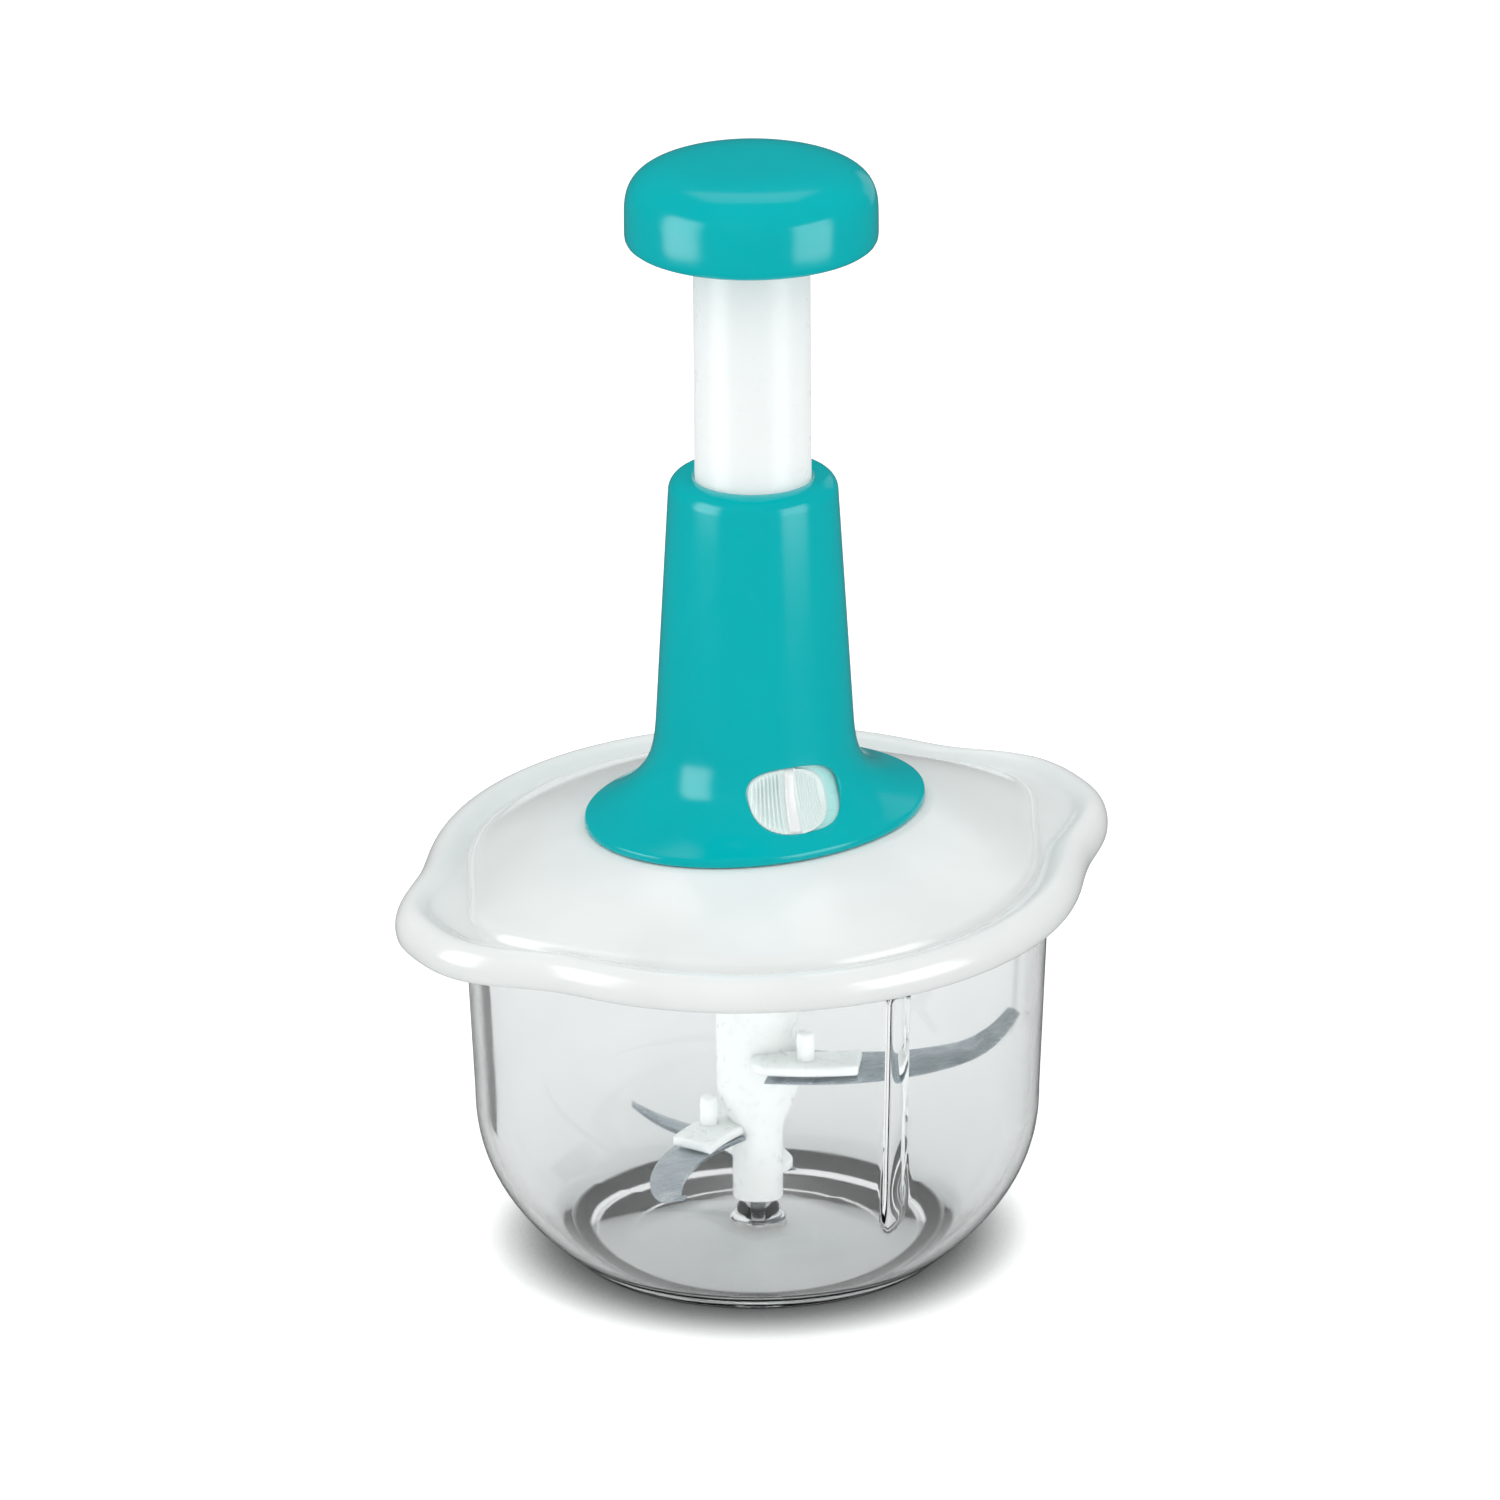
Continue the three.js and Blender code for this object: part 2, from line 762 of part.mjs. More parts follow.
// Profile of the slider between a front face that follows the flare and a back face behind it.
// It follows the flare at the foot's narrow side, so that the slider clears the wall as it turns.
function lockProfile(front, back, bottom, top) {
  const stations = flareHeights().filter((height) => height > bottom + gap && height < top - gap);
  const heights = [bottom, ...stations, top];
  const face = (height) => towerRadius(footTurn - Math.PI / 2, height);
  return [
    ...heights.map((height) => [face(height) - front, height]),
    ...heights.map((height) => [face(height) - back, height]).reverse(),
  ];
}

function lockSlider() {
  const back = footWall + gap + lockPlate;
  const plateFront = footWall + gap;
  const plate = lockProfile(plateFront, back, windowBottom - lockOverlap, windowTop + lockOverlap);
  const pad = lockProfile(lockInset, back - gap, windowBottom, windowTop);
  const ribSection = lockProfile(lockInset - lockRibProud, back - gap, windowBottom, windowTop);
  const ridgeSection = lockProfile(lockInset - lockRidgeProud, back - gap, windowBottom, windowTop);
  const rib = (section, middle, width) =>
    sector(section, lockBearing + middle - width / 2, lockBearing + middle + width / 2, 1);
  const ribs = Array.from({ length: lockRibCount }, (_, k) =>
    rib(ribSection, lockRibFirst + k * lockRibPitch, lockRibAngle));
  const fineRibs = Array.from({ length: lockFineRibCount }, (_, k) =>
    rib(ribSection, lockFineFirst + k * lockRibPitch, lockRibAngle));
  const ridge = rib(ridgeSection, lockRidgeBearing, lockRidgeAngle);
  const face = sector(pad, lockBearing - lockPlateAngle, lockBearing + lockPlateAngle, lockPlateSteps);
  const front = together(face, ribs, fineRibs, ridge).intersect(windowPrism(gap, lockTravel));
  const rear = sector(plate, lockBearing - lockPlateAngle, lockBearing + lockPlateAngle, lockPlateSteps);
  return together(front, rear);
}

// Plunger

function guideBush() {
  const bottom = tubeBottom + tubeFlange + gap;
  const top = towerTop - towerWall - gap;
  const outer = (height) => wallRadius(height) - towerWall - gap;
  const relief = bushBore + bushRelief;
  return ring(
    [
      [bushBore, bottom],
      [outer(bottom) - gap, bottom],
      [outer(top) - gap, top],
      [bushBore, top],
      [bushBore, top - bushLand],
      [relief, top - bushLand - bushRelief],
      [relief, bottom + bushLand + bushRelief],
      [bushBore, bottom + bushLand],
    ],
    tubeSides,
  );
}

function plungerTube() {
  const inner = tubeRadius - tubeWall;
  return ring(
    [
      [inner, tubeBottom],
      [tubeFlangeRadius, tubeBottom],
      [tubeFlangeRadius, tubeBottom + tubeFlange],
      [tubeRadius, tubeBottom + tubeFlange],
      [tubeRadius, tubeTop],
      [inner, tubeTop],
    ],
    tubeSides,
  );
}

// The dome's outline is a superellipse from the shoulder to the top.
function knobDome(radius, rise, share) {
  const angle = (share * Math.PI) / 2;
  const power = 2 / knobRoundShare;
  return [radius * Math.max(0, Math.cos(angle)) ** power, knobShoulder + rise * Math.sin(angle) ** power];
}

function knob() {
  const cavityTop = knobTop - knobWall;
  const cavityRadius = knobRadius - knobWall;
  const cavityShares = knobShares.slice(0, -1);
  const socketInner = tubeRadius + gap;
  const socketOuter = socketInner + socketWall;
  const bossOuter = tubeRadius - tubeWall - gap;
  const bossInner = bossOuter - knobBossWall;
  return turned(
    [
      ...knobShares.map((share) => knobDome(knobRadius, knobTop - knobShoulder, share)).reverse(),
      [knobRadius, knobShoulder],
      [knobRadius, knobBottom + knobLip],
      [knobRadius - knobLip / 2, knobBottom],
      [cavityRadius, knobBottom],
      [cavityRadius, knobShoulder],
      ...cavityShares.map((share) => knobDome(cavityRadius, cavityTop - knobShoulder, share)),
      [socketOuter, cavityTop],
      [socketOuter, socketBottom],
      [socketInner, socketBottom],
      [socketInner, tubeTop + gap],
      [bossOuter, tubeTop + gap],
      [bossOuter, knobBossBottom],
      [bossInner, knobBossBottom],
      [bossInner, holderTop + gap],
      [0, holderTop + gap],
    ],
    knobSides,
  );
}

function knobBase() {
  const inner = tubeRadius + gap;
  const outer = knobRadius - knobWall - gap;
  return pipe(inner, outer, knobBaseBottom, knobBaseBottom + knobBasePlate, knobSides);
}

// Angle of the rod's flat at this height. It turns left-handed, so a push spins the nut clockwise.
function twistAt(height) {
  return (-fullTurn * (height - rodBottom)) / rodLead;
}

// A flat bar twisted about Z. Between its steps the rod folds inwards and a bar that cuts a slot folds
// outwards, so the rod clears its slots at every height.
function twistedBar(bottom, top, clearance) {
  const step = rodLead / rodStepsPerTurn;
  const first = Math.floor((bottom - rodBottom) / step) + 1;
  const last = Math.ceil((top - rodBottom) / step) - 1;
  const heights = [bottom];
  for (let k = first; k <= last; k += 1) heights.push(rodBottom + k * step);
  heights.push(top);
  const halfWidth = rodWidth / 2 + clearance;
  const halfThickness = rodThickness / 2 + clearance;
  const fold = clearance > 0 ? 1 : -1;
  const corners = [[0, 1], [-fold, 1], [-fold, -1], [0, -1], [fold, -1], [fold, 1]];
  const loops = heights.map((height) => {
    const turn = twistAt(height);
    return corners.map(([across, through]) => {
      const x = across * halfWidth;
      const y = through * halfThickness;
      return [x * Math.cos(turn) - y * Math.sin(turn), x * Math.sin(turn) + y * Math.cos(turn), height];
    });
  });
  return lofted(loops, fan(corners.length));
}

function pinAcross(radius, halfLength, height) {
  const geometry = new THREE.CylinderGeometry(radius, radius, 2 * halfLength, pegSides);
  geometry.rotateZ(Math.PI / 2);
  geometry.rotateZ(twistAt(height) + Math.PI / 2);
  geometry.translate(0, 0, height);
  return solidOf(geometry);
}

function holderBodyRadius() {
  return tubeRadius - tubeWall - gap - knobBossWall - gap;
}

function spiralRod() {
  const hole = pinAcross(rodPinRadius + gap, rodWidth + overrun, rodPinHeight);
  return without(twistedBar(rodBottom, rodTop, 0), hole);
}

function rodHolder() {
  const bodyRadius = holderBodyRadius();
  const flangeTop = holderBottom + holderFlange;
  const body = turned(
    [
      [0, holderBottom],
      [tubeRadius - tubeWall - gap, holderBottom],
      [tubeRadius - tubeWall - gap, flangeTop],
      [bodyRadius, flangeTop],
      [bodyRadius, holderTop],
      [0, holderTop],
    ],
    holderSides,
  );
  const slot = twistedBar(holderBottom - overrun, rodTop + gap, gap);
  const hole = pinAcross(rodPinRadius + gap, bodyRadius + overrun, rodPinHeight);
  return without(body, slot, hole);
}

function rodPin() {
  return pinAcross(rodPinRadius, holderBodyRadius() - gap, rodPinHeight);
}

// Return spring

function springEnds() {
  const bottom = lidTop + gap + seatFlange + gap + wireRadius;
  const top = holderBottom - gap - wireRadius;
  return [bottom, top];
}

// Height of the wire after so many coils. The first and the last coil lie almost flat.
function springHeight(coil) {
  const [bottom, top] = springEnds();
  const flatPitch = 2 * wireRadius + 2 * gap;
  if (coil <= 1) return bottom + coil * flatPitch;
  if (coil >= springCoils - 1) return top - (springCoils - coil) * flatPitch;
  return mix(bottom + flatPitch, top - flatPitch, (coil - 1) / (springCoils - 2));
}

function returnSpring() {
  const count = springCoils * springStepsPerCoil;
  const middles = Array.from({ length: count + 1 }, (_, k) => springHeight(k / springStepsPerCoil));
  const loops = middles.map((middle, k) => {
    const angle = (fullTurn * k) / springStepsPerCoil;
    return Array.from({ length: wireSides }, (_, j) => {
      const around = (fullTurn * j) / wireSides;
      const radius = springRadius + wireRadius * Math.cos(around);
      const height = middle + wireRadius * Math.sin(around);
      return [radius * Math.cos(angle), radius * Math.sin(angle), height];
    });
  });
  const rises = middles.slice(springStepsPerCoil).map((height, k) => height - middles[k]);
  const leastGap = Math.min(...rises) - 2 * wireRadius;
  console.log(`return_spring least gap between coils: ${leastGap.toFixed(2)} mm`);
  return lofted(loops, fan(wireSides));
}

function springSeat() {
  const bottom = lidTop + gap;
  return ring(
    [
      [rodBore, seatWallBottom],
      [seatSpigotRadius, seatWallBottom],
      [seatSpigotRadius, bottom],
      [seatFlangeRadius, bottom],
      [seatFlangeRadius, bottom + seatFlange],
      [seatCollarRadius, bottom + seatFlange],
      [seatCollarRadius - gap, bottom + seatFlange + seatCollar],
      [rodBore, bottom + seatFlange + seatCollar],
    ],
    tubeSides,
  );
}

// Drive

function flangeTopHeight() {
  return lidTop - lidWall - gap;
}

function driveHousing() {
  const top = flangeTopHeight();
  const bore = driveRadius + gap;
  const cup = ring(
    [
      [hexCorner(spigotAcross) + 2 * gap, housingBottom],
      [housingRadius, housingBottom],
      [housingRadius, top - housingFlange],
      [housingFlangeRadius, top - housingFlange],
      [housingFlangeRadius, top],
      [bore, top],
      [bore, housingBottom + housingFloor],
      [hexCorner(spigotAcross) + 2 * gap, housingBottom + housingFloor],
    ],
    housingSides,
  );
  const holes = screwAngles().map((angle) => {
    const hole = disc(screwRadius + gap, top - housingFlange - overrun, top + overrun, pegSides);
    return hole.translate([screwCircle * Math.cos(angle), screwCircle * Math.sin(angle), 0]);
  });
  return without(cup, holes);
}

function driveScrew(angle) {
  const headTop = flangeTopHeight() - housingFlange - gap;
  const headBottom = headTop - screwHeadHeight;
  const body = turned(
    [
      [0, headBottom],
      [screwHeadRadius - screwSlotDepth / 2, headBottom],
      [screwHeadRadius, headBottom + screwSlotDepth],
      [screwHeadRadius, headTop],
      [screwRadius, headTop],
      [screwRadius, screwTop - screwRadius],
      [0, screwTop],
    ],
    pegSides,
  );
  const slot = new THREE.BoxGeometry(2 * screwHeadRadius + overrun, screwSlotWidth, 2 * screwSlotDepth);
  const place = [screwCircle * Math.cos(angle), screwCircle * Math.sin(angle), 0];
  return without(body, solidOf(slot.translate(0, 0, headBottom))).translate(place);
}

// A ring of saw teeth: each rises slowly and drops at once. It fills from its base to the tooth line.
function sawRing(base, line, direction, turn) {
  const pitch = fullTurn / clutchTeeth;
  const loops = [];
  for (let k = 0; k < clutchTeeth; k += 1) {
    for (const [share, rise] of [[0, 0], [1 - clutchStepShare, clutchToothHeight]]) {
      const angle = turn + direction * (k + share) * pitch;
      const x = Math.cos(angle);
      const y = Math.sin(angle);
      loops.push([
        [clutchInnerRadius * x, clutchInnerRadius * y, base],
        [clutchOuterRadius * x, clutchOuterRadius * y, base],
        [clutchOuterRadius * x, clutchOuterRadius * y, line + rise],
        [clutchInnerRadius * x, clutchInnerRadius * y, line + rise],
      ]);
    }
  }
  return lofted(loops);
}

function couplerTop() {
  return housingBottom + housingFloor + gap + couplerDisc;
}

function hexCorner(across) {
  return across / 2 / Math.cos(Math.PI / 6);
}

function hexPrism(across, bottom, top) {
  return disc(hexCorner(across), bottom, top, 6);
}

// Coupler: a disc with saw teeth on top and a hexagonal spigot that drops into the hub.
function clutchCoupler() {
  const bottom = housingBottom + housingFloor + gap;
  const body = disc(driveRadius, bottom, couplerTop(), housingSides);
  const spigot = hexPrism(spigotAcross, spigotBottom, bottom + couplerDisc / 2);
  const teeth = sawRing(couplerTop() - clutchRoot, couplerTop(), 1, 0);
  const bore = disc(rodBore, spigotBottom - overrun, couplerTop() + overrun, holderSides);
  return without(together(body, spigot, teeth), bore);
}

// Nut: its slot fits the twisted rod, and the saw teeth below bite in the coupler's.
function driveNut() {
  const top = flangeTopHeight() - gap;
  const line = couplerTop() + clutchPlay;
  const bottom = line + clutchToothHeight + clutchPlay;
  const body = disc(driveRadius, bottom, top, housingSides);
  const teeth = sawRing(bottom + clutchRoot, line, 1, clutchTurnPlay);
  const slot = twistedBar(line - overrun, top + overrun, gap);
  return without(together(body, teeth), slot);
}

// Blade hub, blades and pegs

function bladeFrame(index) {
  const turn = bladeBearing - (fullTurn * index) / bladeNames.length;
  const height = bladeHeights[index];
  return { height, reach: bowlRadius(height) - bladeTipRooms[index], root: bladeHubRadii[index], turn };
}

// A point on the curved edge from root to tip, bowed sideways by a share of its length.
function edgePoint(from, to, bowShare, share) {
  const length = Math.hypot(to[0] - from[0], to[1] - from[1]);
  const side = [(to[1] - from[1]) / length, (from[0] - to[0]) / length];
  const bow = 4 * bowShare * length * share * (1 - share);
  return [mix(from[0], to[0], share) + side[0] * bow, mix(from[1], to[1], share) + side[1] * bow];
}

// Cutting edge: it bulges forwards. The tip points along X before the blade is turned to its bearing.
function leadPoint({ root, reach }, share) {
  const from = [rootLeadAlongShare * root, -rootLeadAcrossShare * root];
  return edgePoint(from, [reach, -bladeTip / 2], bladeBowShare, share);
}

// Back edge: hollow, so the blade is a crescent.
function trailPoint({ root, reach }, share) {
  const from = [rootTrailAlongShare * root, -rootTrailAcrossShare * root];
  return edgePoint(from, [reach - tipTaper, bladeTip / 2], bladeHollowShare, share);
}

function between(from, to, distance) {
  const length = Math.hypot(to[0] - from[0], to[1] - from[1]);
  return [mix(from[0], to[0], distance / length), mix(from[1], to[1], distance / length)];
}

function bladeRise(share) {
  return tipRise * Math.max(0, (share - foldShare) / (1 - foldShare));
}

// Cross sections of the blade: a flat plate ground to a thin edge on its upper side.
function bladeSection(frame, share) {
  const lead = leadPoint(frame, share);
  const trail = trailPoint(frame, share);
  const width = Math.hypot(trail[0] - lead[0], trail[1] - lead[1]);
  const bevel = between(lead, trail, Math.min(bladeBevel, width / 2));
  const bottom = frame.height + bladeRise(share);
  const top = bottom + bladePlate;
  return [
    [...lead, bottom],
    [...trail, bottom],
    [...trail, top],
    [...bevel, top],
    [...lead, bottom + bladeEdge],
  ];
}

function armSection(frame, share) {
  const lead = leadPoint(frame, share);
  const trail = trailPoint(frame, share);
  const front = between(lead, trail, armInset);
  const rear = between(trail, lead, armInset);
  const bottom = frame.height + bladePlate + gap;
  const top = bottom + armThickness;
  return [
    [...front, bottom],
    [...rear, bottom],
    [...rear, top],
    [...front, top],
  ];
}

function turnedTo(solid, turn) {
  return solid.rotate([0, 0, turn / degree]);
}

function pegPlace(frame) {
  const lead = leadPoint(frame, pegAlongShare);
  const trail = trailPoint(frame, pegAlongShare);
  return [mix(lead[0], trail[0], pegAcrossShare), mix(lead[1], trail[1], pegAcrossShare), 0];
}

function pegHole(frame) {
  const bottom = frame.height - overrun;
  const top = frame.height + bladePlate + gap + armThickness + overrun;
  return disc(pegRadius + gap, bottom, top, pegSides).translate(pegPlace(frame));
}

function blade(index) {
  const frame = bladeFrame(index);
  const plate = lofted(bladeShares.map((share) => bladeSection(frame, share)), fan(5));
  const hubRoom = disc(frame.root + gap, frame.height - overrun, frame.height + bladePlate + overrun, hubSides);
  return turnedTo(without(plate, hubRoom, pegHole(frame)), frame.turn);
}

function bladeArm(index) {
  const frame = bladeFrame(index);
  const arm = lofted(armShares.map((share) => armSection(frame, share)), fan(4));
  return turnedTo(without(arm, pegHole(frame)), frame.turn);
}

function bladePeg(index) {
  const frame = bladeFrame(index);
  const headTop = frame.height - gap;
  const armTop = frame.height + bladePlate + gap + armThickness;
  const top = armTop + pegAboveArm;
  const peg = turned(
    [
      [0, headTop - pegHead],
      [pegHeadRadius - pegHead / 2, headTop - pegHead],
      [pegHeadRadius, headTop],
      [pegRadius, headTop],
      [pegRadius, top - pegRadius / 2],
      [pegRadius / 2, top],
      [0, top],
    ],
    pegSides,
  );
  return turnedTo(peg.translate(pegPlace(frame)), frame.turn);
}

function bladeHub() {
  const socketBottom = hubTop - hubSocketDepth;
  const bushTop = hubBottom + bushHeight + gap;
  const pinTop = pinHeight + gap;
  const body = turned(
    [
      [0, hubBottom],
      [shaftRadius, hubBottom],
      [shaftRadius, hubConeBottom],
      [hubRadius, hubConeTop],
      [hubRadius, hubTop],
      [0, hubTop],
    ],
    hubSides,
  );
  const arms = bladeNames.map((_, index) => bladeArm(index));
  const cuts = [
    hexPrism(spigotAcross + 2 * socketPlay, socketBottom, hubTop + overrun),
    disc(rodBore, hubBoreBottom, socketBottom + overrun, holderSides),
    disc(pinRadius + gap, hubBottom - overrun, pinTop, pegSides),
    disc(pinRadius + gap + bushWall + gap, hubBottom - overrun, bushTop, holderSides),
  ];
  return without(together(body, arms), cuts);
}

function hubBush() {
  const inner = pinRadius + gap;
  return pipe(inner, inner + bushWall, hubBottom, hubBottom + bushHeight, holderSides);
}

const chopper = new THREE.Group();
chopper.name = "plunger_food_chopper";
chopper.add(
  finished("bowl", bowl(), clear),
  finished("bowl_pin", bowlPin(), steel),
  finished("lid", lid(), white),
  finished("lid_seal", lidSeal(), sealRubber),
  finished("tower", tower(), teal),
  finished("guide_bush", guideBush(), white),
  finished("drive_housing", driveHousing(), white),
  finished("spring_seat", springSeat(), greyPlastic),
  finished("lock_slider", lockSlider(), white),
  finished("plunger_tube", plungerTube(), tubeWhite),
  finished("knob", knob(), teal),
  finished("knob_base", knobBase(), teal),
  finished("spiral_rod", spiralRod(), steel),
  finished("rod_holder", rodHolder(), greyPlastic),
  finished("rod_pin", rodPin(), steel),
  finished("return_spring", returnSpring(), springSteel),
  finished("drive_nut", driveNut(), greyPlastic),
  finished("clutch_coupler", clutchCoupler(), greyPlastic),
  finished("blade_hub", bladeHub(), white),
  finished("hub_bush", hubBush(), brassMetal),
);
screwAngles().forEach((angle, k) => {
  chopper.add(finished(`drive_screw_${k + 1}`, driveScrew(angle), steel));
});
bladeNames.forEach((name, index) => {
  chopper.add(finished(`blade_${name}`, blade(index), steel));
  chopper.add(finished(`blade_peg_${name}`, bladePeg(index), white));
});

export default chopper;
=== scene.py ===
"""The looks of a hand-pushed food chopper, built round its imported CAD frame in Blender.

A palm knob on a white tube pushes a spiral rod through a nut, and the nut spins three steel blades
on a white hub in a clear bowl. The visible pieces are modelled afresh on the frame's own sizes, each
one rides on the frame's body that carries it, and every piece gets a procedural finish. Sizes are in
millimetres, and become metres where a mesh is made. Z points up and the bowl stands on z = 0.
"""

import json
import logging
import math
from collections.abc import Callable, Iterator, Sequence
from contextlib import contextmanager
from dataclasses import dataclass
from enum import Enum

import bpy
from mathutils import Matrix, Vector

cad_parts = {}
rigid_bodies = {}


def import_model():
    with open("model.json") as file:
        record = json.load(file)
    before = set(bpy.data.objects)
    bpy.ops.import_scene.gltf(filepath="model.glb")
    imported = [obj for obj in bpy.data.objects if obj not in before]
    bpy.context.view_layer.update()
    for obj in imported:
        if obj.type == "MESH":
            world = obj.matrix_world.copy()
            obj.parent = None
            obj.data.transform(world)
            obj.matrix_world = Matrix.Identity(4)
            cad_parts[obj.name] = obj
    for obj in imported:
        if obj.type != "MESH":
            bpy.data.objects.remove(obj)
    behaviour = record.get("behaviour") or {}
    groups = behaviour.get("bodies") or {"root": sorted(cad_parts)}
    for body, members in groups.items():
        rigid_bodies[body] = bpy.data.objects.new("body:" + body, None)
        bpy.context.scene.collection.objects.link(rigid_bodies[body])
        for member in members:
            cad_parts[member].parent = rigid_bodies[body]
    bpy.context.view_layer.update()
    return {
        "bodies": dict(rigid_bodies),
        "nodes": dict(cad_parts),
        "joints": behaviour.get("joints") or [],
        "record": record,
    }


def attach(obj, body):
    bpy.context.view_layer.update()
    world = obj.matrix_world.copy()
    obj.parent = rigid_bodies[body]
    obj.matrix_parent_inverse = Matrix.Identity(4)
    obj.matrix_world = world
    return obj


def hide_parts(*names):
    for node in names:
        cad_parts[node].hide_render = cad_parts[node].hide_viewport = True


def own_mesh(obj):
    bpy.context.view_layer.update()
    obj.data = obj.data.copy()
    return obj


LOG = logging.getLogger("chopper")
MM = 0.001
MERGE_REACH = MM / 1000
NOISE_MIDDLE = (0.3, 0.7)

Points = Sequence[tuple[float, float]]
Place = Callable[[float, int], Sequence[float]]
Face = Callable[[float, float], float]
Tree = bpy.types.NodeTree
Socket = bpy.types.NodeSocket


class Body(Enum):
    """The frame's bodies that carry the new pieces, each of which moves as one."""

    BASE = "base"
    LID = "lid"
    LOCK = "lock"
    PLUNGER = "plunger"
    BLADES = "blades"


class Slot(Enum):
    """The record's material slots."""

    CLEAR_BOWL = "clear_bowl"
    LID_WHITE = "lid_white"
    SEAL_RUBBER = "seal_rubber"
    TEAL_SHELL = "teal_shell"
    GUIDE_WHITE = "guide_white"
    DRIVE_WHITE = "drive_white"
    DRIVE_GREY = "drive_grey"
    SLIDER_WHITE = "slider_white"
    TUBE_WHITE = "tube_white"
    HUB_WHITE = "hub_white"
    BLADE_STEEL = "blade_steel"
    ROD_STEEL = "rod_steel"
    PIN_STEEL = "pin_steel"
    SCREW_STEEL = "screw_steel"
    SPRING_STEEL = "spring_steel"
    BUSH_BRASS = "bush_brass"


def linear_colour(code: str) -> tuple[float, float, float, float]:
    """Turn an sRGB hex colour into the linear values that a shader takes.

    Args:
        code: Six hex digits after a hash, such as "#00b2b6".

    Returns:
        Red, green, blue and alpha from 0 to 1.
    """
    parts = [int(code[start : start + 2], 16) / 255 for start in (1, 3, 5)]
    linear = [part / 12.92 if part <= 0.04045 else ((part + 0.055) / 1.055) ** 2.4 for part in parts]
    return (*linear, 1.0)


def mix(start: float, end: float, share: float) -> float:
    """Return the value that lies this share of the way from start to end."""
    return start + (end - start) * share


def limited(value: float, high: float = 1.0) -> float:
    """Return the value, held between nothing and a limit."""
    return min(max(value, 0.0), high)


def polar(radius: float, bearing: float, height: float) -> Sequence[float]:
    """Return the place at a radius, a bearing and a height."""
    return radius * math.cos(bearing), radius * math.sin(bearing), height


def sector(angle: float, count: int) -> int:
    """Return which of a sleeve's points lies at an angle."""
    return round((angle - math.pi / 2) / (math.tau / count)) % count


def oval_radius(angle: float, length: float, width: float) -> float:
    """Return the radius of an oval at an angle from its long axis."""
    return 1 / math.hypot(2 * math.cos(angle) / length, 2 * math.sin(angle) / width)


def box(inner: float, outer: float, low: float, high: float) -> Points:
    """Return the closed section of a plain ring."""
    return [(inner, low), (outer, low), (outer, high), (inner, high), (inner, low)]


def curve_through(points: Points, steps: int) -> list[tuple[float, float]]:
    """Draw a smooth line through points, with a Catmull-Rom curve between each pair.

    Args:
        points: The points that the line goes through.
        steps: How many steps lie between two points.

    Returns:
        The points of the line, both ends included.
    """

    def between(t: float, a: float, b: float, c: float, d: float) -> float:
        """Return the curve's value at a share of the way from b to c."""
        bend = (2 * a - 5 * b + 4 * c - d) * t**2
        return 0.5 * (2 * b + (c - a) * t + bend + (3 * b - a - 3 * c + d) * t**3)

    padded = [points[0], *points, points[-1]]
    line = [points[0]]
    for ends in zip(padded, padded[1:], padded[2:], padded[3:]):
        for step in range(1, steps + 1):
            line.append(tuple(between(step / steps, *values) for values in zip(*ends)))
    return line


def add_node(
    tree: Tree, kind: str, settings: dict | None = None, inputs: dict | None = None
) -> bpy.types.Node:
    """Add one node to a tree, set it up and link it.

    Args:
        tree: The node tree that gets the node.
        kind: Blender's name for the node type, without the words that all of them start with.
        settings: Properties of the node itself.
        inputs: A value, or an output to link, for each input named.

    Returns:
        The new node.
    """
    node = tree.nodes.new(f"ShaderNode{kind}")
    for name, value in (settings or {}).items():
        setattr(node, name, value)
    for name, value in (inputs or {}).items():
        if isinstance(value, Socket):
            tree.links.new(value, node.inputs[name])
        else:
            node.inputs[name].default_value = value
    return node


def combined(tree: Tree, operation: str, first: object, second: object) -> Socket:
    """Work out one value from two, each of them a number or an output."""
    return add_node(tree, "Math", {"operation": operation}, {0: first, 1: second}).outputs["Value"]


def spread(
    tree: Tree,
    value: Socket,
    low: object,
    high: object,
    span: tuple[float, float] = (0.0, 1.0),
    shape: str = "LINEAR",
) -> Socket:
    """Map a span of a value to the range from low to high."""
    inputs = {"Value": value, "From Min": span[0], "From Max": span[1], "To Min": low, "To Max": high}
    return add_node(tree, "MapRange", {"interpolation_type": shape}, inputs).outputs["Result"]


def two_tone(tree: Tree, share: Socket, first: str, second: str) -> Socket:
    """Mix two hex colours by a share."""
    inputs = {0: share, 6: linear_colour(first), 7: linear_colour(second)}
    return add_node(tree, "Mix", {"data_type": "RGBA"}, inputs).outputs[2]


def fresh_tree(owner: bpy.types.Material | bpy.types.World) -> Tree:
    """Switch a material or a world to nodes, and empty its tree."""
    owner.use_nodes = True
    owner.node_tree.nodes.clear()
    return owner.node_tree


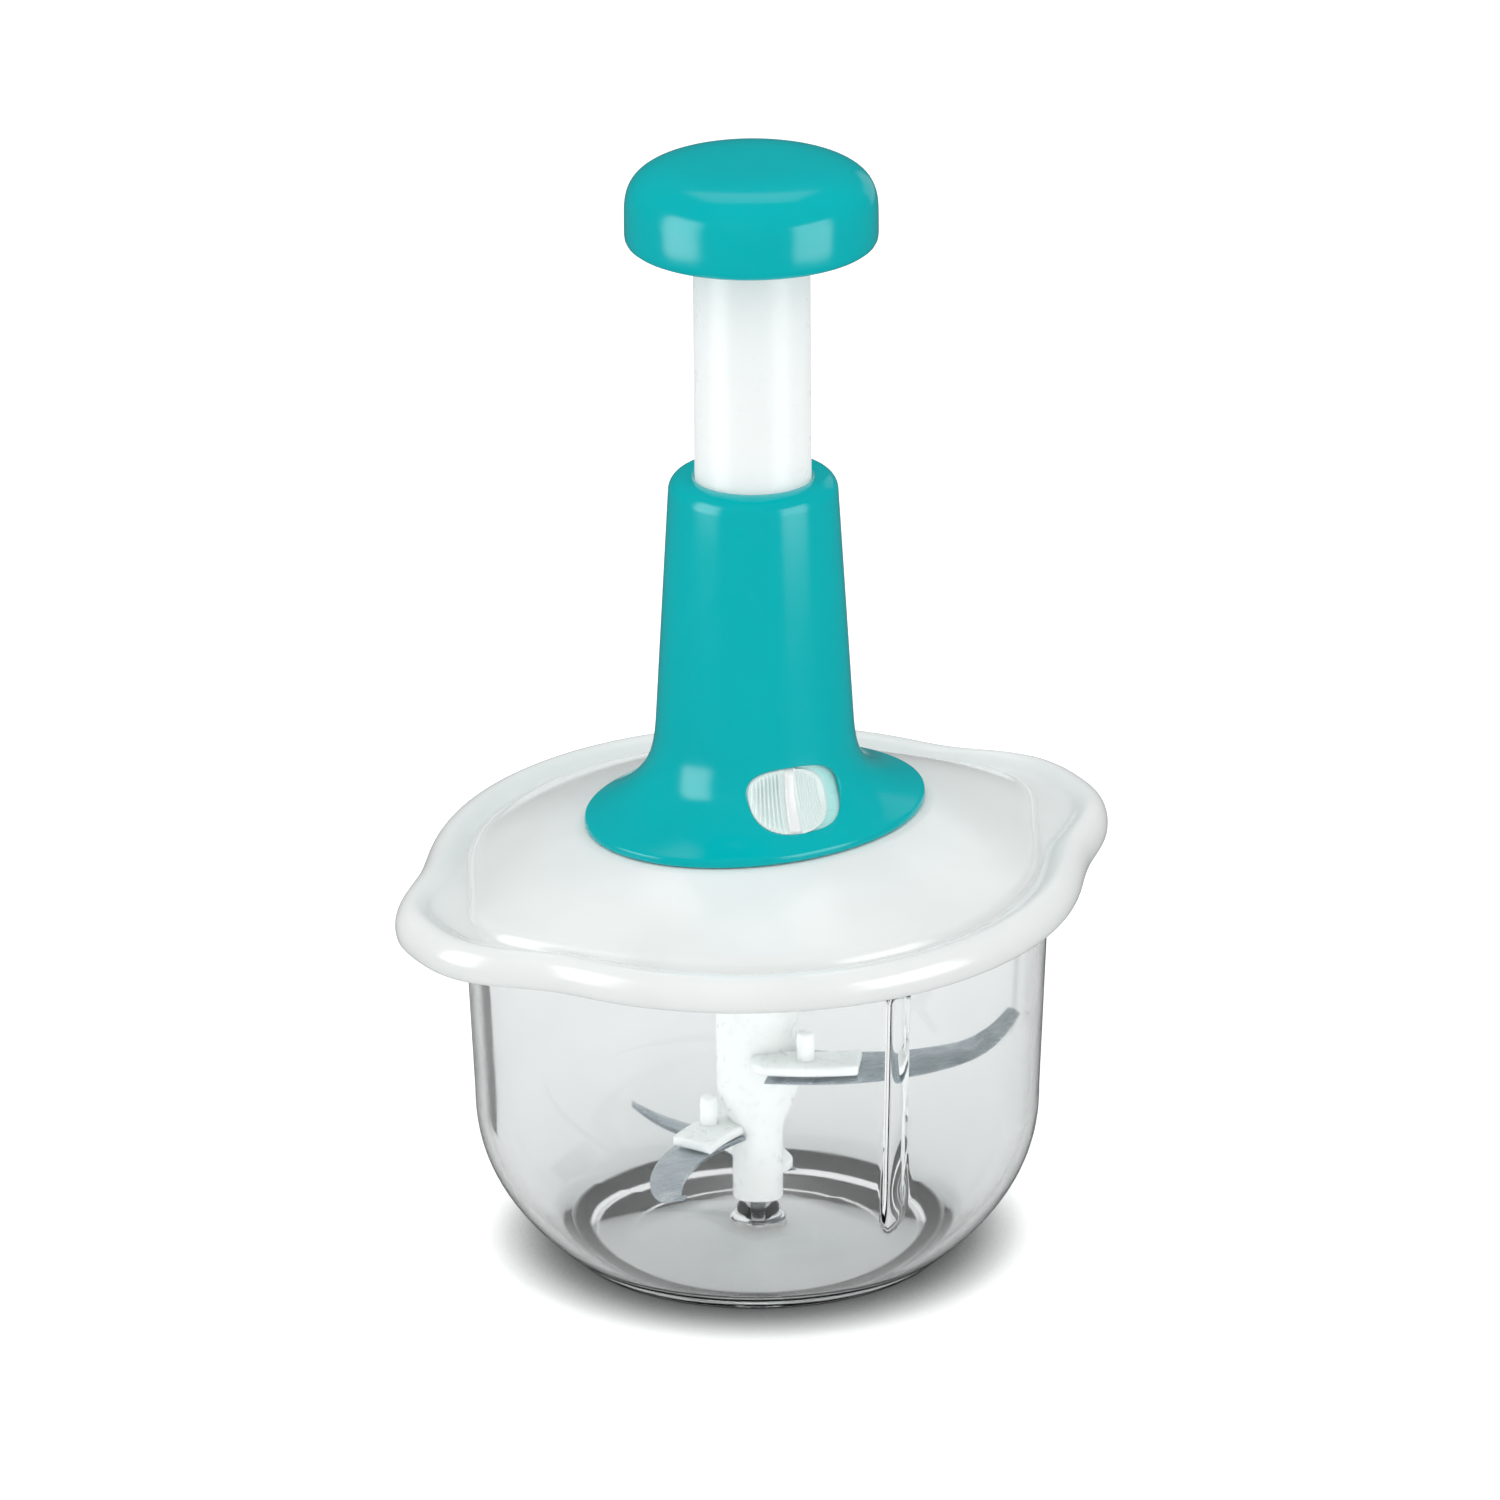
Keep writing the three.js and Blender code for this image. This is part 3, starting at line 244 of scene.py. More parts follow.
@dataclass(frozen=True)
class Finish:
    """A surface as the real material has it. Pattern sizes are in millimetres."""

    name: str
    colour: str
    second_colour: str
    roughness: float
    gloss_change: float
    flow_mm: float
    haze_mm: float
    grain_mm: float
    grain_depth_mm: float

    def pattern(
        self, tree: Tree, size_mm: float, detail: float, stretch: Sequence[float] = (1, 1, 1)
    ) -> Socket:
        """Add a noise whose features are about one real size across.

        Args:
            tree: The material's tree.
            size_mm: Size of one feature.
            detail: How many finer layers the noise has.
            stretch: Scale of the pattern along X, Y and Z.

        Returns:
            The noise's value, from 0 to 1.
        """
        place = add_node(tree, "TexCoord").outputs["Object"]
        turned = add_node(tree, "Mapping", inputs={"Vector": place, "Scale": stretch}).outputs["Vector"]
        inputs = {"Vector": turned, "Scale": 1 / (size_mm * MM), "Detail": detail}
        return add_node(tree, "TexNoise", inputs=inputs).outputs["Fac"]

    def gloss_pattern(self, tree: Tree) -> Socket:
        """Let the gloss drift in soft patches, as on a handled surface."""
        return self.pattern(tree, self.haze_mm, 4.0)

    def relief_pattern(self, tree: Tree) -> Socket:
        """Give the surface the fine grain that the mould left."""
        return self.pattern(tree, self.grain_mm, 3.0)

    def constants(self) -> dict[str, object]:
        """Return the shader's values that are the same all over."""
        return {}

    def material(self) -> bpy.types.Material:
        """Build the material once, and hand the same one out afterwards."""
        found = bpy.data.materials.get(self.name)
        if found:
            return found
        made = bpy.data.materials.new(self.name)
        tree = fresh_tree(made)
        flow = spread(tree, self.pattern(tree, self.flow_mm, 2.0, (1, 1, 0.5)), 0.0, 1.0, NOISE_MIDDLE)
        smooth, dull = self.roughness - self.gloss_change, self.roughness + self.gloss_change
        relief = {"Height": self.relief_pattern(tree), "Distance": self.grain_depth_mm * MM, "Strength": 1.0}
        inputs = {
            "Base Color": two_tone(tree, flow, self.colour, self.second_colour),
            "Roughness": spread(tree, self.gloss_pattern(tree), smooth, dull, NOISE_MIDDLE),
            "Normal": add_node(tree, "Bump", inputs=relief).outputs["Normal"],
        }
        shader = add_node(tree, "BsdfPrincipled", inputs={**inputs, **self.constants()})
        add_node(tree, "OutputMaterial", inputs={"Surface": shader.outputs["BSDF"]})
        return made


@dataclass(frozen=True)
class MouldedPlastic(Finish):
    """Injection-moulded plastic: even colour, soft waves from the mould and a clean gloss."""

    glow: float = 0.0
    glow_reach_mm: float = 2.0
    shine: float = 0.5
    # White emission that is a painted glow: it lifts the piece out of its shade, though the piece is no lamp.
    painted_glow: float = 0.0

    def constants(self) -> dict[str, object]:
        """Return the shader's values that are the same all over."""
        return {
            # The emission here is the painted glow.
            "Emission Color": (1.0, 1.0, 1.0, 1.0),
            "Emission Strength": self.painted_glow,
            "IOR": 1.5,
            "Specular IOR Level": self.shine,
            "Subsurface Weight": self.glow,
            "Subsurface Radius": (self.glow_reach_mm * MM,) * 3,
            "Subsurface Scale": 1.0,
        }


@dataclass(frozen=True)
class ClearPlastic(Finish):
    """Clear moulded styrene: glassy, with faint flow waves and fine wash marks."""

    def constants(self) -> dict[str, object]:
        """Return the shader's values that are the same all over."""
        return {"IOR": 1.49, "Transmission Weight": 1.0}


@dataclass(frozen=True)
class WorkedMetal(Finish):
    """Drawn, turned or ground metal: fine lines along the way it was worked."""

    lines: tuple[float, float, float] = (0.06, 1.0, 1.0)
    line_mm: float = 0.35

    def gloss_pattern(self, tree: Tree) -> Socket:
        """Let the gloss change from line to line."""
        return self.pattern(tree, self.line_mm, 3.0, self.lines)

    def relief_pattern(self, tree: Tree) -> Socket:
        """Score the surface with the same lines."""
        return self.pattern(tree, self.line_mm, 2.0, self.lines)

    def constants(self) -> dict[str, object]:
        """Return the shader's values that are the same all over."""
        return {"Metallic": 1.0}


# Scales of patterns that run in rings round Z, round a coiled wire and along Z.
RINGS = (0.08, 0.08, 1.0)
COILS = (0.3, 0.3, 1.0)
UPRIGHT = (1.0, 1.0, 0.06)
# Glossy teal ABS from a polished mould: one strong even colour with clean soft highlights.
TEAL_ABS = MouldedPlastic(
    "teal_abs_polished", "#00b3b8", "#00b0b5", 0.15, 0.02, 22.0, 4.0, 1.4, 0.003, shine=0.28
)
# White polypropylene from a polished mould: bright, a little cool, with thin crisp highlights.
WHITE_POLYPROPYLENE = MouldedPlastic(
    "white_polypropylene", "#edf0ef", "#e8ebea", 0.15, 0.03, 26.0, 5.0, 1.6, 0.004, 0.3, 3.0
)
# Milky extruded tube: light spreads in its wall, and on top of that a painted glow of white emission evens it
# out, also in the knob's shadow.
MILKY_TUBE = MouldedPlastic(
    "milky_tube", "#dfe4e3", "#dce1e0", 0.3, 0.04, 20.0, 4.0, 1.2, 0.004, 0.7, 6.0, 0.2, 0.22
)
# White acetal for sliding pieces: waxy, so its highlight is wide.
WHITE_ACETAL = MouldedPlastic(
    "white_acetal", "#f4f6f5", "#eef1f0", 0.3, 0.05, 10.0, 2.0, 0.7, 0.004, 0.45, 3.0
)
# Acetal of the slider's pad: plain and satin, so that its fine ribs stay clear. Its colour is the white
# acetal with the painted shade of the window's recess and a painted teal bounce from the wall round it.
RIBBED_ACETAL_PAINTED_SHADE = MouldedPlastic("ribbed_acetal_painted_shade", "#e0edeb", "#dae9e7", 0.34, 0.04, 10.0, 2.0, 0.7, 0.003)
# Acetal of the slider's plate: white acetal with the shade behind the wall and the teal light that the wall
# round it bounces on it painted into its colour.
ACETAL_PAINTED_TEAL_BOUNCE = MouldedPlastic("acetal_painted_teal_bounce", "#b8ece9", "#aee7e4", 0.3, 0.05, 10.0, 2.0, 0.7, 0.004, 0.3)
# Grey acetal for the drive pieces inside: waxy and dull.
GREY_ACETAL = MouldedPlastic("grey_acetal", "#b8bdc0", "#aeb4b7", 0.45, 0.06, 8.0, 1.5, 0.5, 0.006)
# Soft silicone: matt, and a little cloudy.
SILICONE = MouldedPlastic("silicone_rubber", "#d5dadc", "#ccd2d4", 0.65, 0.06, 6.0, 1.2, 0.4, 0.01, 0.2, 1.5)
# Clear styrene from a polished mould: it bends the light at edges and ribs.
CLEAR_STYRENE = ClearPlastic("clear_styrene", "#fbfcfc", "#f7f9f9", 0.035, 0.02, 40.0, 9.0, 14.0, 0.012)
# Stamped stainless blade: cool grey with fine grinding lines along its length.
GROUND_STAINLESS = WorkedMetal("ground_stainless", "#b4bcc2", "#a3acb3", 0.24, 0.08, 5.0, 2.0, 0.4, 0.002)
# Rod of drawn steel: satin lines run up the bar.
DRAWN_STEEL = WorkedMetal("drawn_steel", "#b3b9bd", "#a2a9ae", 0.3, 0.07, 6.0, 2.0, 0.4, 0.002, UPRIGHT)
# Pins and screws turned on a lathe: rings run round them.
TURNED_STEEL = WorkedMetal("turned_steel", "#aeb4b8", "#9ea5aa", 0.28, 0.06, 4.0, 1.5, 0.4, 0.002, RINGS)
# Hard-drawn spring wire: a little darker than the rod.
SPRING_WIRE = WorkedMetal("spring_wire", "#8f979c", "#838b91", 0.32, 0.07, 4.0, 1.5, 0.4, 0.002, COILS)
# Brass bush: warm, with rings from the lathe.
TURNED_BRASS = WorkedMetal("turned_brass", "#b9924f", "#ab8443", 0.3, 0.06, 4.0, 1.5, 0.4, 0.002, RINGS)


def clear_selection() -> None:
    """Leave edit mode, and leave nothing selected."""
    active = bpy.context.view_layer.objects.active
    if active is not None and active.mode != "OBJECT":
        bpy.ops.object.mode_set(mode="OBJECT")
    bpy.ops.object.select_all(action="DESELECT")


def dress(mesh: bpy.types.Mesh, finish: Finish) -> None:
    """Make a finish a mesh's only material."""
    mesh.materials.clear()
    mesh.materials.append(finish.material())


def dress_node(frame: dict, node: str, finish: Finish) -> None:
    """Give a CAD node that stays as it is a better material."""
    dress(frame["nodes"][node].data, finish)
    LOG.info("%s: CAD node, dressed in %s", node, finish.name)


class Workpiece:
    """A mesh on the bench, which starts as a primitive and is shaped with the modelling tools."""

    def __init__(self, name: str) -> None:
        """Take the primitive that was just added, and give it a name."""
        self.object = bpy.context.view_layer.objects.active
        self.object.name = name
        self.object.data.name = name
        bpy.ops.object.transform_apply(location=True, rotation=True, scale=True)

    def activate(self) -> None:
        """Make this the one object that the tools act on."""
        clear_selection()
        bpy.context.view_layer.objects.active = self.object
        self.object.select_set(True)

    @contextmanager
    def editing(self) -> Iterator[None]:
        """Hold the mesh in edit mode, with everything selected at first."""
        self.activate()
        bpy.ops.object.mode_set(mode="EDIT")
        bpy.ops.mesh.select_all(action="SELECT")
        yield
        bpy.ops.object.mode_set(mode="OBJECT")

    @classmethod
    def sleeve(cls, name: str, sides: int, levels: int, place: Place) -> "Workpiece":
        """Raise an open sleeve level by level, and press it into shape point by point.

        Args:
            name: Name of the piece.
            sides: Points in each level.
            levels: How many levels there are.
            place: Gives the place in millimetres for an angle and a level.

        Returns:
            The piece, closed and facing outwards.
        """
        clear_selection()
        bpy.ops.mesh.primitive_circle_add(vertices=sides, radius=1)
        piece = cls(name)
        with piece.editing():
            for _ in range(levels - 1):
                bpy.ops.mesh.extrude_region_move(TRANSFORM_OT_translate={"value": (0, 0, 1)})
        for vertex in piece.object.data.vertices:
            x, y, z = vertex.co
            vertex.co = Vector(place(math.atan2(y, x), round(z))) * MM
        return piece.tidy()

    @classmethod
    def swept(
        cls, name: str, sides: int, section: Callable[[float], Points], crowd: float = 0.0
    ) -> "Workpiece":
        """Sweep a closed section that changes with the angle once round Z.

        Args:
            name: Name of the piece.
            sides: Points in each level.
            section: Gives radius and height of the section's points at an angle.
            crowd: How strongly the points are drawn together at the two ends of X.

        Returns:
            The piece, closed and facing outwards.
        """
        cache: dict[float, Points] = {}

        def place(angle: float, level: int) -> Sequence[float]:
            """Set a point from the section at its angle."""
            bearing = angle - crowd * math.sin(2 * angle)
            key = round(bearing, 5)
            if key not in cache:
                cache[key] = section(bearing)
            radius, height = cache[key][level]
            return polar(radius, bearing, height)

        return cls.sleeve(name, sides, len(section(0.0)), place)

    @classmethod
    def traced(cls, name: str, points: Sequence[Sequence[float]]) -> "Workpiece":
        """Draw a line through points in millimetres, one extrusion after the other."""
        spots = [Vector(point) * MM for point in points]
        clear_selection()
        bpy.ops.mesh.primitive_plane_add(size=MM, location=spots[0])
        piece = cls(name)
        with piece.editing():
            bpy.ops.mesh.merge(type="CENTER")
            for here, there in zip(spots, spots[1:]):
                bpy.ops.mesh.extrude_region_move(TRANSFORM_OT_translate={"value": there - here})
        return piece

    @classmethod
    def turned(cls, name: str, section: Points, segments: int = 96) -> "Workpiece":
        """Draw a section and spin it round Z.

        Args:
            name: Name of the piece.
            section: Radius and height of each point in millimetres, ending where it starts or on the axis.
            segments: Steps in the full turn.

        Returns:
            The turned piece, closed and facing outwards.
        """
        piece = cls.traced(name, [(radius, 0, height) for radius, height in section])
        with piece.editing():
            bpy.ops.mesh.spin(steps=segments, angle=math.tau, center=(0, 0, 0), axis=(0, 0, 1))
        return piece.tidy()

    @classmethod
    def plate(cls, name: str, outline: Points, bottom: float, thickness: float) -> "Workpiece":
        """Draw a level outline, fill it and extrude it upwards.

        Args:
            name: Name of the piece.
            outline: Points of the outline in millimetres.
            bottom: Height of the lower face.
            thickness: Distance to the upper face.

        Returns:
            The plate, closed and facing outwards.
        """
        piece = cls.traced(name, [(x, y, bottom) for x, y in [*outline, outline[0]]])
        with piece.editing():
            bpy.ops.mesh.remove_doubles(threshold=MERGE_REACH)
            bpy.ops.mesh.edge_face_add()
            bpy.ops.mesh.extrude_region_move(TRANSFORM_OT_translate={"value": (0, 0, thickness * MM)})
        return piece.tidy()

    @classmethod
    def cutter(cls, name: str, sides: int, radius: float, depth: float, height: float) -> "Workpiece":
        """Make an upright prism on Z with its middle at a height, to cut with."""
        clear_selection()
        size = {"vertices": sides, "radius": radius * MM, "depth": depth * MM}
        bpy.ops.mesh.primitive_cylinder_add(**size, location=(0, 0, height * MM))
        return cls(name)

    def tidy(self) -> "Workpiece":
        """Merge what meets, fill open ends and turn every face outwards."""
        with self.editing():
            bpy.ops.mesh.remove_doubles(threshold=MERGE_REACH)
            bpy.ops.mesh.fill_holes(sides=0)
            bpy.ops.mesh.select_all(action="SELECT")
            bpy.ops.mesh.normals_make_consistent(inside=False)
        return self

    def modify(self, kind: str, **settings: object) -> "Workpiece":
        """Add a modifier, set it up and apply it."""
        self.activate()
        bpy.ops.object.modifier_add(type=kind)
        modifier = self.object.modifiers[-1]
        for name, value in settings.items():
            setattr(modifier, name, value)
        bpy.ops.object.modifier_apply(modifier=modifier.name)
        return self

    def combine(self, other: "Workpiece", operation: str = "DIFFERENCE") -> "Workpiece":
        """Cut this piece with another, or keep what both share. The other one is used up."""
        self.modify("BOOLEAN", operation=operation, object=other.object, solver="EXACT")
        bpy.data.objects.remove(other.object)
        return self

    def add(self, *others: "Workpiece") -> "Workpiece":
        """Take other pieces into the same object as they are."""
        self.activate()
        for other in others:
            other.object.select_set(True)
        bpy.ops.object.join()
        return self

    def round_edges(self, width: float, angle: float = 40.0) -> "Workpiece":
        """Round every edge that is sharper than an angle in degrees."""
        limit = math.radians(angle)
        return self.modify("BEVEL", width=width * MM, segments=3, limit_method="ANGLE", angle_limit=limit)

    def copy(self, name: str) -> "Workpiece":
        """Make a copy with a mesh of its own."""
        self.activate()
        bpy.ops.object.duplicate(linked=False)
        return Workpiece(name)

    def turn(self, angle: float) -> "Workpiece":
        """Turn the whole mesh round Z by an angle in radians."""
        self.object.data.transform(Matrix.Rotation(angle, 4, "Z"))
        return self

    def shift(self, x: float, y: float) -> "Workpiece":
        """Move the whole mesh sideways by millimetres."""
        with self.editing():
            bpy.ops.transform.translate(value=(x * MM, y * MM, 0))
        return self

    def hand_over(
        self, body: Body, slot: Slot, finish: Finish, *nodes: str, angle: float = 35.0
    ) -> bpy.types.Object:
        """Smooth and dress the piece, and let it ride on its body.

        Args:
            body: The body that carries the piece.
            slot: The record's slot for its finish; not used.
            finish: The finish that it gets.
            nodes: CAD nodes that it stands for.
            angle: Edges sharper than this many degrees stay crisp.

        Returns:
            The finished object.
        """
        self.activate()
        bpy.ops.object.shade_smooth_by_angle(angle=math.radians(angle))
        made = self.object
        dress(made.data, finish)
        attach(made, body.value)
        if nodes:
            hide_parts(*nodes)
        LOG.info("%s: %d faces, rides on %s", made.name, len(made.data.polygons), body.value)
        return made


@dataclass
class Bowl:
    """Clear bowl with a foot ring, three upright ribs and a boss for the steel pin."""

    height: float = 93.0
    foot_radius: float = 45.0
    foot_ring: float = 4.6
    foot_recess: float = 1.0
    foot_edge: float = 0.6
    shoulder_height: float = 38.0
    shoulder_radius: float = 66.4
    mouth_radius: float = 68.8
    shoulder_power: float = 2.3
    wall: float = 2.3
    floor: float = 2.6
    floor_inset: float = 4.0
    floor_corner: float = 0.9
    rim_rounding: float = 0.8
    rib_count: int = 3
    rib_radius: float = 3.4
    rib_proud: float = 2.1
    rib_end: float = 0.8
    rib_foot: float = 17.0
    rib_fade: float = 16.0
    rib_top: float = 84.2
    rib_crowd: float = 0.86
    boss_radius: float = 6.0
    boss_top_radius: float = 4.0
    boss_height: float = 5.8
    boss_edge: float = 0.4
    pin_radius: float = 2.0
    pin_top: float = 24.0
    pin_foot: float = 2.6
    gap: float = 0.3
    sides: int = 216

    def outer(self, height: float) -> float:
        """Radius of the outer face at a height."""
        if height >= self.shoulder_height:
            share = (height - self.shoulder_height) / (self.height - self.shoulder_height)
            return mix(self.shoulder_radius, self.mouth_radius, share)
        left = 1 - height / self.shoulder_height
        return mix(self.foot_radius, self.shoulder_radius, 1 - left**self.shoulder_power)

    def inner(self, height: float) -> tuple[float, float]:
        """Point of the inner face that lies one wall in from the outer face at a height."""
        step = 0.5
        slope = (self.outer(height + step) - self.outer(height)) / step
        length = math.hypot(slope, 1)
        return self.outer(height) - self.wall / length, height + self.wall * slope / length

    def straight_wall(self, height: float) -> float:
        """Radius of the inner face at a height above the shoulder."""
        share = (height - self.shoulder_height) / (self.height - self.shoulder_height)
        return mix(self.inner(self.shoulder_height)[0], self.mouth_radius - self.wall, share)

    def section(self) -> Points:
        """Section of the wall from the middle of the foot, up the outside and back down the inside."""
        # The levels lie closer together near the foot, where the wall curves most.
        curve = [self.shoulder_height * (k / 24) ** 1.3 for k in range(1, 25)]
        straight = [mix(self.shoulder_height, self.height, k / 6) for k in range(1, 6)]
        rim = self.rim_rounding
        arc = [k * math.pi / 8 for k in range(5)]
        recess = self.foot_radius - self.foot_ring
        outside = [(0.0, self.foot_recess), (recess - 1.0, self.foot_recess)]
        outside += [(recess, 0.0), (self.foot_radius - self.foot_edge, 0.0)]
        outside += [(self.outer(height), height) for height in [0.3, *curve, *straight]]
        low = self.height - rim
        outside += [(self.mouth_radius - rim + rim * math.cos(a), low + rim * math.sin(a)) for a in arc]
        floor = self.foot_recess + self.floor
        mouth = self.mouth_radius - self.wall
        inside = [(mouth + rim - rim * math.sin(a), low + rim * math.cos(a)) for a in arc]
        inside += [self.inner(height) for height in reversed([*curve, *straight])]
        inside = [point for point in inside if point[1] > floor + self.floor_corner]
        radius, height = inside[-1]
        for share in (0.25, 0.5, 0.75, 1.0):
            level = mix(height, floor, 1 - (1 - share) ** 2)
            inside.append((mix(radius, self.foot_radius - self.floor_inset, share), level))
        boss = floor + self.boss_height
        hole = self.pin_radius + self.gap
        edge = self.boss_edge
        bottom = self.pin_foot - self.gap
        inside += [(self.boss_radius + 1, floor), (self.boss_radius, floor + edge)]
        inside += [(self.boss_top_radius, boss - edge), (self.boss_top_radius - edge, boss)]
        return [*outside, *inside, (hole, boss), (hole, bottom), (0.0, bottom)]

    def rib_limit(self, angle: float, height: float) -> float:
        """Radius of a rib's face at an angle and a height, or more than the wall's where there is none."""
        pitch = math.tau / self.rib_count
        off = (angle + math.pi / 2 + pitch / 2) % pitch - pitch / 2
        wall = self.straight_wall(height)
        across = wall * math.sin(off)
        over = max(0.0, height - (self.rib_top - self.rib_end)) / self.rib_end
        reach = self.rib_radius * math.sqrt(max(0.0, 1 - min(over, 1.0) ** 2))
        if abs(across) >= reach or height <= self.rib_foot:
            return self.mouth_radius
        rise = min((height - self.rib_foot) / self.rib_fade, 1.0)
        proud = self.rib_proud * rise * (2 - rise)
        return wall + self.rib_radius - proud - math.sqrt(reach**2 - across**2)

    def build(self) -> None:
        """Model the bowl and its pin, and dress them."""
        section = self.section()
        # The rounded mouth ends five points after the first one at full height.
        mouth = max(range(len(section)), key=lambda k: section[k][1]) + 5
        inside = section[mouth:]
        for share in (0, 0.1, 0.3, 0.6, 1, 3):
            height = self.rib_top - self.rib_end * share
            slot = next(k for k, point in enumerate(inside) if point[1] < height)
            inside.insert(slot, (self.straight_wall(height), height))
        section = [*section[:mouth], *inside]

        def place(angle: float, level: int) -> Sequence[float]:
            """Set the wall's points, drawn together where a rib swells inwards."""
            crowd = self.rib_crowd * math.sin(self.rib_count * (angle + math.pi / 2)) / self.rib_count
            bearing = angle - crowd
            radius, height = section[level]
            if level >= mouth and height > self.rib_foot:
                radius = min(radius, self.rib_limit(bearing, height))
            return polar(radius, bearing, height)

        bowl = Workpiece.sleeve("bowl_clear", self.sides, len(section), place)
        bowl.hand_over(Body.BASE, Slot.CLEAR_BOWL, CLEAR_STYRENE, "bowl", angle=50.0)
        radius, low, top = self.pin_radius, self.pin_foot, self.pin_top
        end = [(radius, top - 0.8), (radius - 0.35, top - 0.2), (radius - 0.9, top), (0.0, top)]
        pin = Workpiece.turned("pin_in_floor", [(0.0, low), (radius, low), *end], 48)
        pin.hand_over(Body.BASE, Slot.PIN_STEEL, TURNED_STEEL, "bowl_pin")


@dataclass
class Lid:
    """White lid with a rounded bead, two ears, a soft valley and a dome, and the seal on its plug ring."""

    radius: float = 78.7
    swirl: float = 2.0
    lean: float = 0.7
    ear_reach: float = 12.7
    ear_widths: tuple[float, float] = (math.radians(18.1), math.radians(19.9))
    ear_powers: tuple[float, float] = (2.47, 3.6)
    ear_crowd: float = 0.2
    wall: float = 2.2
    top: float = 107.3
    dome_edge: float = 97.6
    dome_inset: float = 3.5
    dome_wall: float = 1.1
    valley: float = 95.0
    valley_inset: float = 10.0
    hollow_reach: float = 9.0
    hollow_bearing: float = math.radians(8)
    hollow_width: float = math.radians(16)
    bulge: float = 0.08
    crest_wave: float = 1.2
    crest_bearing: float = math.radians(61)
    seat_length: float = 89.6
    seat_width: float = 72.8
    seat_turn: float = math.radians(11)
    hole_radius: float = 6.3
    plug_radius: float = 65.1
    plug_wall: float = 2.5
    plug_bottom: float = 84.8
    plug_root: float = 95.0
    plug_edge: float = 0.7
    groove_bottom: float = 86.3
    groove_top: float = 90.1
    groove_depth: float = 1.1
    seal_reach: float = 65.9
    seal_body: float = 0.9
    skirt: float = 88.4
    rim: float = 93.3
    gap: float = 0.3
    sides: int = 264
    bead: Points = (
        (0.9, 88.4), (0.3, 89.3), (0.0, 91.2), (0.25, 93.3), (1.1, 95.2),
        (2.5, 96.7), (4.5, 97.4), (6.3, 97.0), (7.9, 96.2), (9.3, 95.3),
    )
    bead_inside: Points = ((9.2, 93.3), (5.2, 94.4), (3.2, 93.6), (2.3, 91.4), (2.4, 89.6), (2.8, 88.4))
    shoulder: Sequence[Sequence[float]] = ((0.6, 0.4, 0.9), (1.2, 1.3, 0.65), (2.1, 2.1, 0.35))

    def edge(self, angle: float) -> float:
        """Distance of the lid's edge from the axis, which swells to an ear at each end of X."""
        off = (angle + math.pi / 2) % math.pi - math.pi / 2
        side = 0 if off < 0 else 1
        ear = self.ear_reach * math.exp(-((abs(off) / self.ear_widths[side]) ** self.ear_powers[side]))
        return self.round_edge(angle) + ear

    def round_edge(self, angle: float) -> float:
        """Distance of the edge from the axis without the ears."""
        return self.radius + self.swirl * math.sin(2 * angle) + self.lean * math.sin(angle)

    def valley_radius(self, angle: float) -> float:
        """Radius of the line where the dome starts, which reaches out towards each ear."""
        off = (angle + math.pi / 2 - self.hollow_bearing) % math.pi - math.pi / 2
        reach = self.hollow_reach * math.exp(-((off / self.hollow_width) ** 2))
        return self.round_edge(angle) - self.valley_inset + reach

    def radial(self, angle: float) -> Points:
        """Section of the lid's top and underside at one angle, as a closed line."""
        edge = self.edge(angle)
        seat = oval_radius(angle - self.seat_turn, self.seat_length, self.seat_width)
        start = self.valley_radius(angle)
        foot = start - self.dome_inset

        def dome(share: float, inset: float, sink: float) -> tuple[float, float]:
            """Point of the dome at a share of its way up, moved inwards and down."""
            height = share + self.bulge * math.sin(math.pi * share)
            return mix(foot, seat, share) - inset, mix(self.dome_edge, self.top, height) - sink

        wave = self.crest_wave * math.cos(angle - self.crest_bearing)
        full = max(height for _, height in self.bead) - self.skirt
        lift = wave * (self.valley - self.skirt) / full
        line = [(edge - inset, height + wave * (height - self.skirt) / full) for inset, height in self.bead]
        for share in (0.35, 0.75, 1.0):
            line.append((mix(edge - self.bead[-1][0], start, share), self.valley + lift))
        line += [(start - inset, self.valley + up + lift * share) for inset, up, share in self.shoulder]
        line += [dome(share, 0.0, 0.0) for share in (0.0, 0.15, 0.3, 0.5, 0.7, 0.88)]
        top = curve_through([*line, (seat, self.top)], 3)
        low = self.top - self.wall
        hole = [(self.hole_radius + 6, self.top), (self.hole_radius, self.top), (self.hole_radius, low)]
        under = [dome(share, self.dome_wall, self.wall) for share in (0.75, 0.5, 0.25, 0.0)]
        under.append((self.plug_radius + self.groove_depth / 2, self.rim))
        under += [(edge - inset, height) for inset, height in self.bead_inside]
        return [*top, *hole, (seat - self.dome_wall, low), *under, top[0]]

